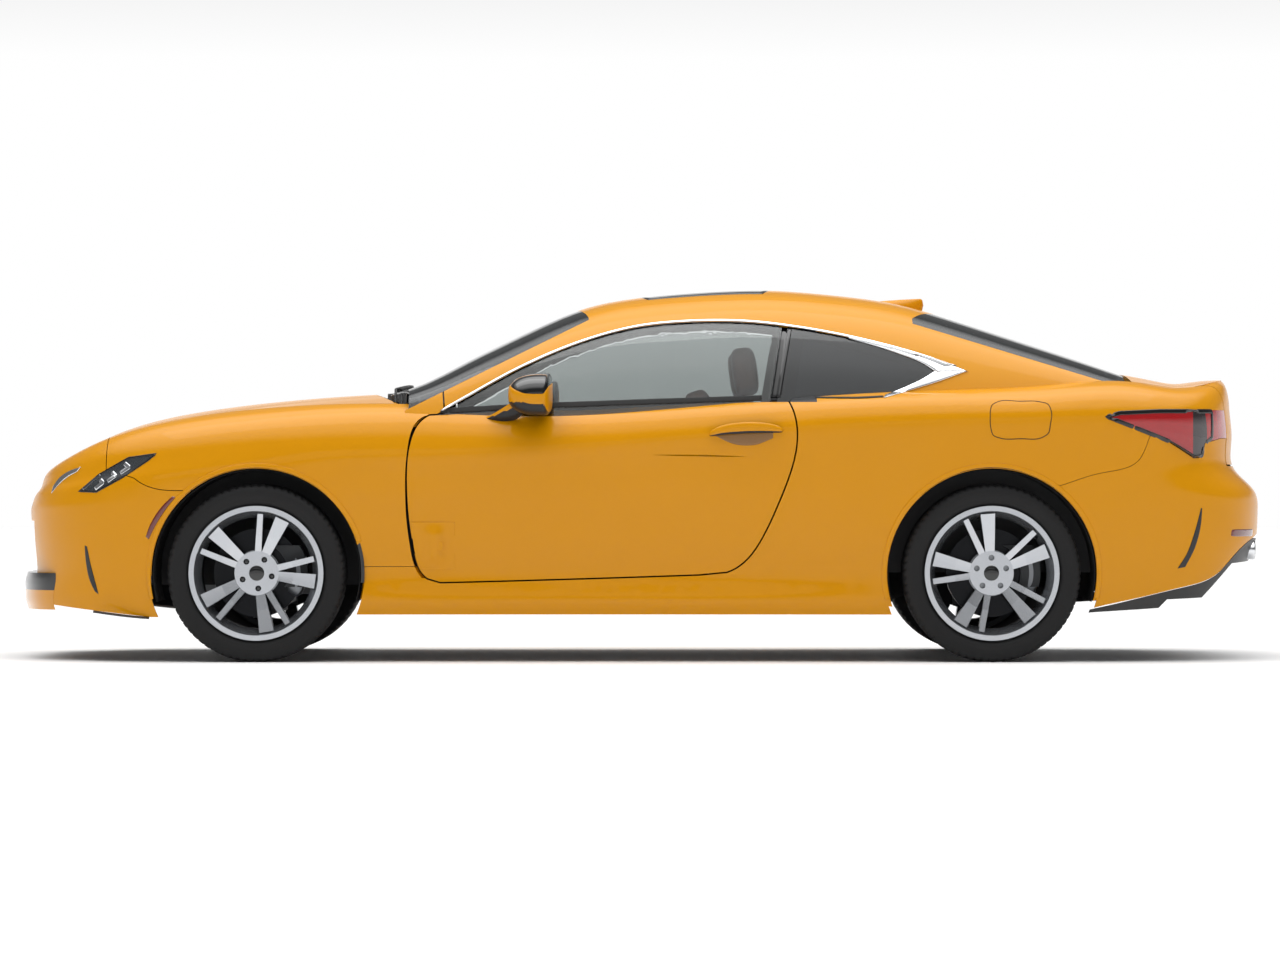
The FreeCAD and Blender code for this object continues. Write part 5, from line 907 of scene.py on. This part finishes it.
# %% Covers over the lower hinges
COVER_EDGE = ((0.340, -0.8215), (0.350, -0.8243), (0.417, -0.8429), (0.470, -0.8500), (0.528, -0.8560))
COVER_FROM_Z = 0.345
COVER_TO_Z = 0.520
COVER_AFT_X = -0.690
KNUCKLE_X = -0.767
KNUCKLE_SPAN_Z = (0.398, 0.468)
KNUCKLE_SPREAD = 0.034
DOOR_SKIN_X, DOOR_SKIN_Y, DOOR_SKIN_Z = -0.740, -0.856, 0.375
DOOR_SLOPE_X = 0.030
DOOR_SLOPE_Z = 0.130
COVER_RISE = 0.0165
COVER_WALL = 0.0015


def make_hinge_cover():
    """Thin plate over the door skin: its rise is a bell across the knuckle times a window of height."""
    z = np.linspace(COVER_FROM_Z, COVER_TO_Z, 60)[:, None]
    edge_z, edge_x = np.array(COVER_EDGE).T
    start = np.interp(z, edge_z, edge_x) + 0.0015
    x = start + (COVER_AFT_X - start) * np.linspace(0.0, 1.0, 60)[None, :]
    z = np.broadcast_to(z, x.shape)
    skin = DOOR_SKIN_Y - (z - DOOR_SKIN_Z) * DOOR_SLOPE_Z + (x - DOOR_SKIN_X) * DOOR_SLOPE_X
    below = np.clip((z - COVER_FROM_Z) / (KNUCKLE_SPAN_Z[0] - COVER_FROM_Z), 0.0, 1.0)
    above = np.clip((COVER_TO_Z - z) / (COVER_TO_Z - KNUCKLE_SPAN_Z[1]), 0.0, 1.0)
    window = (0.5 - 0.5 * np.cos(np.pi * below)) * (0.5 - 0.5 * np.cos(np.pi * above))
    y = skin - 0.0008 - COVER_RISE * np.exp(-((x - KNUCKLE_X) / KNUCKLE_SPREAD) ** 2) * window
    outer = np.stack([x, y, z], axis=-1)
    inner = outer + np.array([0.0, COVER_WALL, 0.0])
    both_flanks("hinge_cover", *slab(outer, inner), paint, "door_left", "body_paint")


make_hinge_cover()
print("hinge covers made")

# %% [markdown]
# ## Wheel housings
# Inside each arch sits a felt liner: a half tube that follows the arch and a wall behind the wheel. It
# hides the body's structure and keeps the opening dark, which is why a wheel stands out against it. The
# half tube is a profile of radius and depth turned through the open part of the arch. The front one has
# no back wall, because the steered wheel needs that room.

# %% Arch liners
# Needled polyester felt: black and fibrous, it gives back hardly any light.
felt, _ = new_finish("needled_black_felt", {"Base Color": linear("0E0E0F"), "Roughness": 0.95}, (2.5, 0.3))
LINER_RADIUS = 0.383
LINER_OUT = 0.872
LINER_FRONT_IN = 0.505
LINER_REAR_IN = 0.560
LINER_BEND = 0.600
LINER_WALL = 0.003
LINER_DEG = (-16.0, 196.0)
LINER_SECTIONS = {
    "front": ((LINER_RADIUS, LINER_OUT), (LINER_RADIUS, LINER_FRONT_IN),
              (LINER_RADIUS + LINER_WALL, LINER_FRONT_IN), (LINER_RADIUS + LINER_WALL, LINER_OUT)),
    "rear": ((LINER_RADIUS, LINER_OUT), (LINER_RADIUS, LINER_BEND), (LINER_RADIUS - 0.02, LINER_REAR_IN),
             (0.10, LINER_REAR_IN - 0.002), (0.10, LINER_REAR_IN - 0.002 - LINER_WALL),
             (LINER_RADIUS - 0.01, LINER_REAR_IN - LINER_WALL), (LINER_RADIUS + LINER_WALL, LINER_BEND),
             (LINER_RADIUS + LINER_WALL, LINER_OUT)),
}


def make_liner(place, axle_x, side):
    """Half tube, walled at the rear axle: a thin section of radius and depth turned from foot to foot."""
    radius, depth = np.array(LINER_SECTIONS[place.split("_")[0]]).T[:, None, :]
    turn = np.radians(np.linspace(*LINER_DEG, 65))[:, None]
    x, z = axle_x + radius * np.cos(turn), TYRE_RADIUS + radius * np.sin(turn)
    points = np.stack([x, np.broadcast_to(side * depth, x.shape), z], axis=-1)
    put_mesh("arch_liner_" + place, points, tube_faces(points), felt, "body")


for end, axle_x in (("front", FRONT_AXLE_X), ("rear", REAR_AXLE_X)):
    for hand, side in (("left", -1.0), ("right", 1.0)):
        make_liner(end + "_" + hand, axle_x, side)
print("arch liners made")

# %% [markdown]
# ## Door mirrors
# A mirror head is a moulding with a nearly flat glass side and a rounded nose, in two shells: the lower
# one in body colour, the upper cap in gloss black. Its section is an ellipse with raised powers, which
# makes it squarer, and it shrinks towards both ends. A blade-like foot joins it to the door.

# %% Mirror heads and feet
MIRROR_AFT_X = -0.340
MIRROR_DEPTH = 0.158
MIRROR_MID_Y = -0.925
MIRROR_HALF_Y = 0.118
MIRROR_MID_Z = 0.995
MIRROR_HALF_Z = 0.077
MIRROR_SPLIT_DEG = -20.0
MIRROR_AFT_DEPTH = 0.035
MIRROR_SWEEP = 0.020
MIRROR_GLASS_LIMIT = 0.012


def mirror_half(name, from_deg, to_deg, grow, finish):
    """Half of the head: an ellipse squared by its powers over a range of turn, smaller at both ends."""
    share = np.sin(np.linspace(-math.pi / 2, math.pi / 2, 41))[:, None]
    turn = np.radians(np.linspace(from_deg, to_deg, 41))[None, :]
    shrink = (1.0 - np.abs(share) ** 3.2) ** (1 / 2.4)
    cosine, sine = np.cos(turn), np.sin(turn)
    front = np.clip(-cosine, 0.0, None) ** 0.85 * (MIRROR_DEPTH - MIRROR_AFT_DEPTH)
    aft = np.clip(cosine, 0.0, None) ** 0.35 * MIRROR_AFT_DEPTH
    narrow = (0.35 + 0.65 * shrink) * (shrink > 0)
    x = MIRROR_AFT_X - MIRROR_AFT_DEPTH + (aft - front + grow * cosine) * narrow
    z = MIRROR_MID_Z + (np.sign(sine) * np.abs(sine) ** 0.72 * MIRROR_HALF_Z + grow * sine) * shrink
    z = z + MIRROR_SWEEP * share * 0.6
    y = MIRROR_MID_Y + np.broadcast_to((MIRROR_HALF_Y + grow) * share, z.shape)
    x = x + MIRROR_SWEEP * (1 + share) * 0.5
    points = np.stack([np.minimum(x, MIRROR_AFT_X + MIRROR_GLASS_LIMIT), y, z], axis=-1)
    return both_flanks(name, points, tube_faces(points), finish, "door_left")


SPLIT_FORE_DEG, SPLIT_AFT_DEG = 180.0 + MIRROR_SPLIT_DEG, -MIRROR_SPLIT_DEG
lower_shells = mirror_half("mirror_lower_shell", SPLIT_FORE_DEG, 360.0 + SPLIT_AFT_DEG, 0.0, paint)
mirror_half("mirror_upper_cap", SPLIT_AFT_DEG, SPLIT_FORE_DEG, -0.0015, gloss_black)
for shell, hand in zip(lower_shells, ("left", "right")):
    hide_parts("mirror_" + hand)


FOOT_PLACES = ((-0.545, -0.770, 0.884), (-0.540, -0.815, 0.893), (-0.500, -0.858, 0.915),
               (-0.440, -0.895, 0.955))


def make_mirror_foot():
    """Blade: a flat oval section carried from the door's shoulder out to the head, thicker as it goes."""
    line = smooth_line(FOOT_PLACES, 24)
    turn = np.linspace(0.0, 2 * math.pi, 24, endpoint=False)[None, :]
    share = np.linspace(0.0, 1.0, len(line))[:, None]
    long_half = 0.062 - 0.020 * share
    tall_half = 0.016 + 0.006 * share
    points = np.stack([
        line[:, 0:1] + long_half * np.cos(turn), line[:, 1:2] - 0.008 * np.sin(turn) * (1 - share),
        line[:, 2:3] + tall_half * np.sin(turn)], axis=-1)
    both_flanks("mirror_foot", points, tube_faces(points), paint, "door_left", "mirror_trim")


make_mirror_foot()
print("mirrors made")

# %% [markdown]
# ## Roof and cowl details
# A dark glass panel lies in the roof, a fin covers the aerial, and black mouldings close the step from
# the hood to the windscreen, where two wiper arms rest. Sheets and arms are draped: the picture gives
# their outline seen from above and a ray from above gives their height.

# %% Draped sheets, fin and wipers
TOP_SKIN = skin_of(["roof_panel", "windscreen", "rear_window", "body_tub", "hood", "boot_lid", "fender_left",
                    "fender_right", "dashboard"])


def top_z(x, y):
    """Height of the car's upper skin at every x, y pair."""
    return skin_place(TOP_SKIN, 2, 1.0, 1.0, x, y)


def draped_sheet(name, x, y, proud, finish):
    """A sheet over the skin: the x, y grid lifted to the skin's height plus proud, closed below."""
    z = top_z(x, y)
    outer = np.stack([x, y, z + proud], axis=-1)
    inner = np.stack([x, y, z - CONCEALED], axis=-1)
    put_mesh(name, *slab(outer, inner), finish, "body")


ROOF_GLASS_PX = (640, 768)
ROOF_GLASS_HALF_Y = 0.43
HOOD_END_X = -1.006
COWL_HALF_Y = 0.69
along, across = np.meshgrid(np.linspace(0.0, 1.0, 24), np.linspace(-1.0, 1.0, 41), indexing="ij")
glass_fore, glass_aft = (centre_x(px) for px in ROOF_GLASS_PX)
glass_x = glass_fore + along * (glass_aft - glass_fore) + 0.03 * across**4 * (1 - 2 * along)
draped_sheet("roof_glass_panel", glass_x, across * ROOF_GLASS_HALF_Y, 0.0016, gloss_black)
cowl_x = HOOD_END_X + 0.075 * across**2 + 0.008 + along * (0.085 - 0.03 * across**2)
draped_sheet("cowl_moulding", cowl_x, across * COWL_HALF_Y, 0.0025, abs_trim)
print("roof glass from x", round(glass_fore, 3), "to", round(glass_aft, 3))

# %% Aerial fin
FIN_PX = (868, 922)
FIN_TALL = 0.058


def make_fin():
    """Aerial fin: its height grows by a power curve and drops at the end; it thins with height."""
    start, stop = (centre_x(px) for px in FIN_PX)
    share = np.linspace(0.0, 1.0, 30)[:, None]
    turn = np.linspace(0.0, math.pi, 25)[None, :]
    rise = np.sin(turn)
    tall = FIN_TALL * share**1.15 * np.clip((1.01 - share) / 0.06, 0.0, 1.0) ** 0.35
    half = 0.024 * np.sin(np.pi * np.clip(share * 0.85 + 0.10, 0, 1)) ** 0.7
    x = start + (stop - start) * share + 0.010 * rise**2 * tall / FIN_TALL
    y = half * np.cos(turn) * (1 - 0.35 * rise)
    foot = top_z(start + (stop - start) * share, share * 0.0)
    z = foot - 0.004 + tall * rise**0.7
    points = np.stack([x, y, z], axis=-1)
    put_mesh("roof_aerial_fin", points, tube_faces(points), paint, "body")


make_fin()
print("fin", FIN_TALL, "m tall")

# %% Wipers
WIPERS = (("left", (-0.93, -0.52), (-0.885, 0.06)), ("right", (-0.945, 0.10), (-0.835, 0.64)))
SCREEN_WAY = (-0.4, 0.0, 1.0)


def draped_bar(name, places, wide, tall, lift, finish):
    """A bar of oval section laid over the skin along plan places, lifted off it."""
    line = smooth_line(places, 60)
    z = top_z(line[:, 0], line[:, 1]) + lift
    path = np.stack([line[:, 0], line[:, 1], z], axis=1)
    turn = np.linspace(0.0, 2 * math.pi, 12, endpoint=False)
    outline = np.stack([wide / 2 * np.cos(turn), tall / 2 * np.sin(turn)], axis=1)
    points = section_band(path, np.tile([SCREEN_WAY], (len(line), 1)), outline)
    put_mesh(name, points, tube_faces(points), finish, "body")


for hand, pivot, tip in WIPERS:
    mid = ((pivot[0] + tip[0]) / 2 + 0.012, (pivot[1] + tip[1]) / 2)
    blade = ((mid[0] - 0.012, mid[1] - 0.22), (mid[0] + 0.012, mid[1]), (tip[0] + 0.004, tip[1] + 0.05))
    draped_bar("wiper_arm_" + hand, (pivot, mid, tip), 0.014, 0.010, 0.016, abs_trim)
    draped_bar("wiper_blade_" + hand, blade, 0.010, 0.014, 0.008, seal_rubber)
print("wipers made")

# %% [markdown]
# ## Seats
# The seats are foam on a frame, covered in tan leather. A leather seat reads by three things: cushions
# that crown between their seams, bolsters that stand up at the sides, and a headrest of its own. Each
# pad here is a squared ellipsoid whose sides pull in between its corners and whose face is lowered
# along the sewn channels. A cloth simulation could add folds, which tight leather hardly has.

# %% Padded seats
CHANNEL_DEPTH = 0.009
CHANNEL_WIDTH = 0.008
SEAT_Y = 0.370
BOLSTER_Y = 0.195


def pad_surface(centre, halves, lean_deg, power, channels=(), hollow=0.0, rows=49, columns=96):
    """Squared ellipsoid: sines and cosines raised to a power; the face sinks at channels and middle."""
    v = np.linspace(-math.pi / 2, math.pi / 2, rows)[:, None]
    u = np.linspace(0.0, 2 * math.pi, columns, endpoint=False)[None, :]
    waves = (np.cos(v), np.sin(v), np.cos(u), np.sin(u))
    cos_v, sin_v, cos_u, sin_u = (np.sign(w) * np.abs(w) ** power for w in waves)
    x = halves[0] * cos_v * cos_u
    y = halves[1] * cos_v * sin_u
    z = halves[2] * sin_v * np.ones_like(u)
    pull = 1.0 - 0.05 * (1.0 - (x / halves[0]) ** 2) * (np.abs(y) / halves[1]) ** 4
    y = y * pull
    face = np.clip(z / halves[2], 0.0, 1.0) ** 2
    z = z - hollow * face * (1.0 - (y / halves[1]) ** 2)
    for place, way in channels:
        offset = (y if way == "y" else x) - place
        z = z - CHANNEL_DEPTH * face * np.exp(-((offset / CHANNEL_WIDTH) ** 2))
    lean = math.radians(lean_deg)
    return np.stack([centre[0] + x * math.cos(lean) + z * math.sin(lean), centre[1] + y,
                     centre[2] - x * math.sin(lean) + z * math.cos(lean)], axis=-1)


def make_pad(name, stands_for, *shape, **looks):
    """Closed mesh of a pad; the first pad of a seat stands for its CAD solid."""
    points = pad_surface(*shape, **looks)
    piece = put_mesh(name, points, grid_faces(*points.shape[:2], False, True), leather, "body")
    if stands_for:
        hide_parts(stands_for)


def make_front_seat(hand, mid_y):
    """Cushion, back, two pairs of bolsters, headrest and a dark base of one front seat."""
    label = "seat_" + hand
    make_pad(label + "_cushion", label, (0.000, mid_y, 0.470), (0.245, 0.165, 0.075), -7.0, 0.45,
             channels=((0.09, "x"), (-0.06, "x")), hollow=0.012)
    make_pad(label + "_back", None, (0.290, mid_y, 0.735), (0.290, 0.165, 0.060), -108.0, 0.45,
             channels=((0.11, "x"), (-0.03, "x"), (-0.15, "x")), hollow=0.010)
    make_pad(label + "_headrest", None, (0.392, mid_y, 1.085), (0.092, 0.130, 0.050), -98.0, 0.55,
             hollow=0.006)
    for number, edge in enumerate((-BOLSTER_Y, BOLSTER_Y)):
        make_pad(label + "_cushion_bolster_" + str(number + 1), None, (0.000, mid_y + edge, 0.490),
                 (0.240, 0.045, 0.080), -7.0, 0.6)
        make_pad(label + "_back_bolster_" + str(number + 1), None, (0.262, mid_y + edge, 0.720),
                 (0.255, 0.043, 0.075), -108.0, 0.6)
    base = pad_surface((0.02, mid_y, 0.335), (0.235, 0.205, 0.125), 0.0, 0.25)
    put_mesh(label + "_base", base, grid_faces(*base.shape[:2], False, True), abs_trim, "body")


make_front_seat("left", -SEAT_Y)
make_front_seat("right", SEAT_Y)
make_pad("rear_seat_bench", "rear_seat", (0.640, 0.0, 0.430), (0.165, 0.600, 0.085), -6.0, 0.4,
         channels=((0.09, "x"), (0.0, "y"), (-0.30, "y"), (0.30, "y")))
make_pad("rear_seat_back", None, (0.800, 0.0, 0.660), (0.200, 0.600, 0.055), -108.0, 0.4,
         channels=((0.10, "x"), (0.0, "y"), (-0.30, "y"), (0.30, "y")))
print("seats made")

# %% [markdown]
# ## Studio
# A pale seamless floor, one large soft light overhead, two long strips at the sides and a surround that
# is white at the horizon, dim at the sides and bright overhead: the way cars are photographed for a
# catalogue, so that the flanks keep some shade and the shoulder catches the light. The camera stands
# far back with a long lens, as the photograph's small perspective tells.

# %% Surround and floor
SKY_STEPS = ((0.00, 1.0), (0.07, 1.0), (0.17, 0.16), (0.60, 0.25), (0.80, 2.2), (1.00, 2.8))
bpy.context.scene.view_settings.view_transform = "Standard"
world = bpy.data.worlds.new("studio_surround")
bpy.context.scene.world = world
world.use_nodes = True
world_tree = world.node_tree
sky_way = add_node(world_tree, "ShaderNodeSeparateXYZ", None, {
    "Vector": add_node(world_tree, "ShaderNodeTexCoord").outputs["Generated"]}).outputs["Z"]
sky_ramp = add_node(world_tree, "ShaderNodeValToRGB", None, {"Fac": sky_way})
while len(sky_ramp.color_ramp.elements) < len(SKY_STEPS):
    sky_ramp.color_ramp.elements.new(0.5)
for element, (place, level) in zip(sky_ramp.color_ramp.elements, SKY_STEPS):
    element.position = place
    element.color = (level / SKY_STEPS[-1][1],) * 3 + (1.0,)
world_tree.links.new(sky_ramp.outputs["Color"], world_tree.nodes["Background"].inputs[0])
world_tree.nodes["Background"].inputs[1].default_value = SKY_STEPS[-1][1]

# Rolled paper, matt white.
floor_material, _ = new_finish("matt_white_studio_floor", {"Base Color": linear("F4F4F4"), "Roughness": 0.55})
REACH = 60.0
floor_mesh = bpy.data.meshes.new("studio_floor")
floor_mesh.from_pydata(
    [(-REACH, -REACH, 0), (REACH, -REACH, 0), (REACH, REACH, 0), (-REACH, REACH, 0)], [], [(0, 1, 2, 3)])
floor = bpy.data.objects.new("studio_floor", floor_mesh)
bpy.context.scene.collection.objects.link(floor)
floor_mesh.materials.append(floor_material)
print("floor reaches", REACH, "m each way")

# %% Lamps
LAMPS = (
    ("overhead_softbox", (0.0, -0.5, 5.0), (0.0, 0.0, 0.0), (7.0, 3.0), 100.0),
    ("left_strip", (-1.0, -7.5, 2.6), (0.0, 0.0, 0.7), (9.0, 1.2), 18.0),
    ("right_strip", (0.0, 7.5, 2.6), (0.0, 0.0, 0.7), (9.0, 1.2), 18.0),
)


def area_light(name, place, aim, size, power):
    """A soft rectangular lamp at place, facing aim."""
    data = bpy.data.lights.new(name, "AREA")
    data.shape = "RECTANGLE"
    data.size, data.size_y = size
    data.energy = power
    lamp = bpy.data.objects.new(name, data)
    lamp.location = place
    lamp.rotation_euler = (Vector(aim) - Vector(place)).to_track_quat("-Z", "Y").to_euler()
    bpy.context.scene.collection.objects.link(lamp)


for lamp_row in LAMPS:
    area_light(*lamp_row)
print("studio lit by", len(LAMPS), "lamps")

# %% Camera
CAMERA_BACK = 23.115
CAMERA_HIGH = 0.676
LENS_PX = 5990.0
FRAME_WIDTH_PX = 1280.0
SENSOR_MM = 36.0
CLIP_END = 200.0
camera_data = bpy.data.cameras.new("long_lens")
camera_data.sensor_width = SENSOR_MM
camera_data.lens = LENS_PX / FRAME_WIDTH_PX * SENSOR_MM
camera_data.shift_x = (FRAME_WIDTH_PX / 2 - PLUMB_PX) / FRAME_WIDTH_PX
camera_data.clip_end = CLIP_END
camera = bpy.data.objects.new("long_lens", camera_data)
camera.location = (PLUMB_X, -CAMERA_BACK, CAMERA_HIGH)
camera.rotation_euler = (math.radians(90), 0.0, 0.0)
bpy.context.scene.collection.objects.link(camera)
bpy.context.scene.camera = camera
print("lens of", round(camera_data.lens, 1), "mm at", CAMERA_BACK, "m")
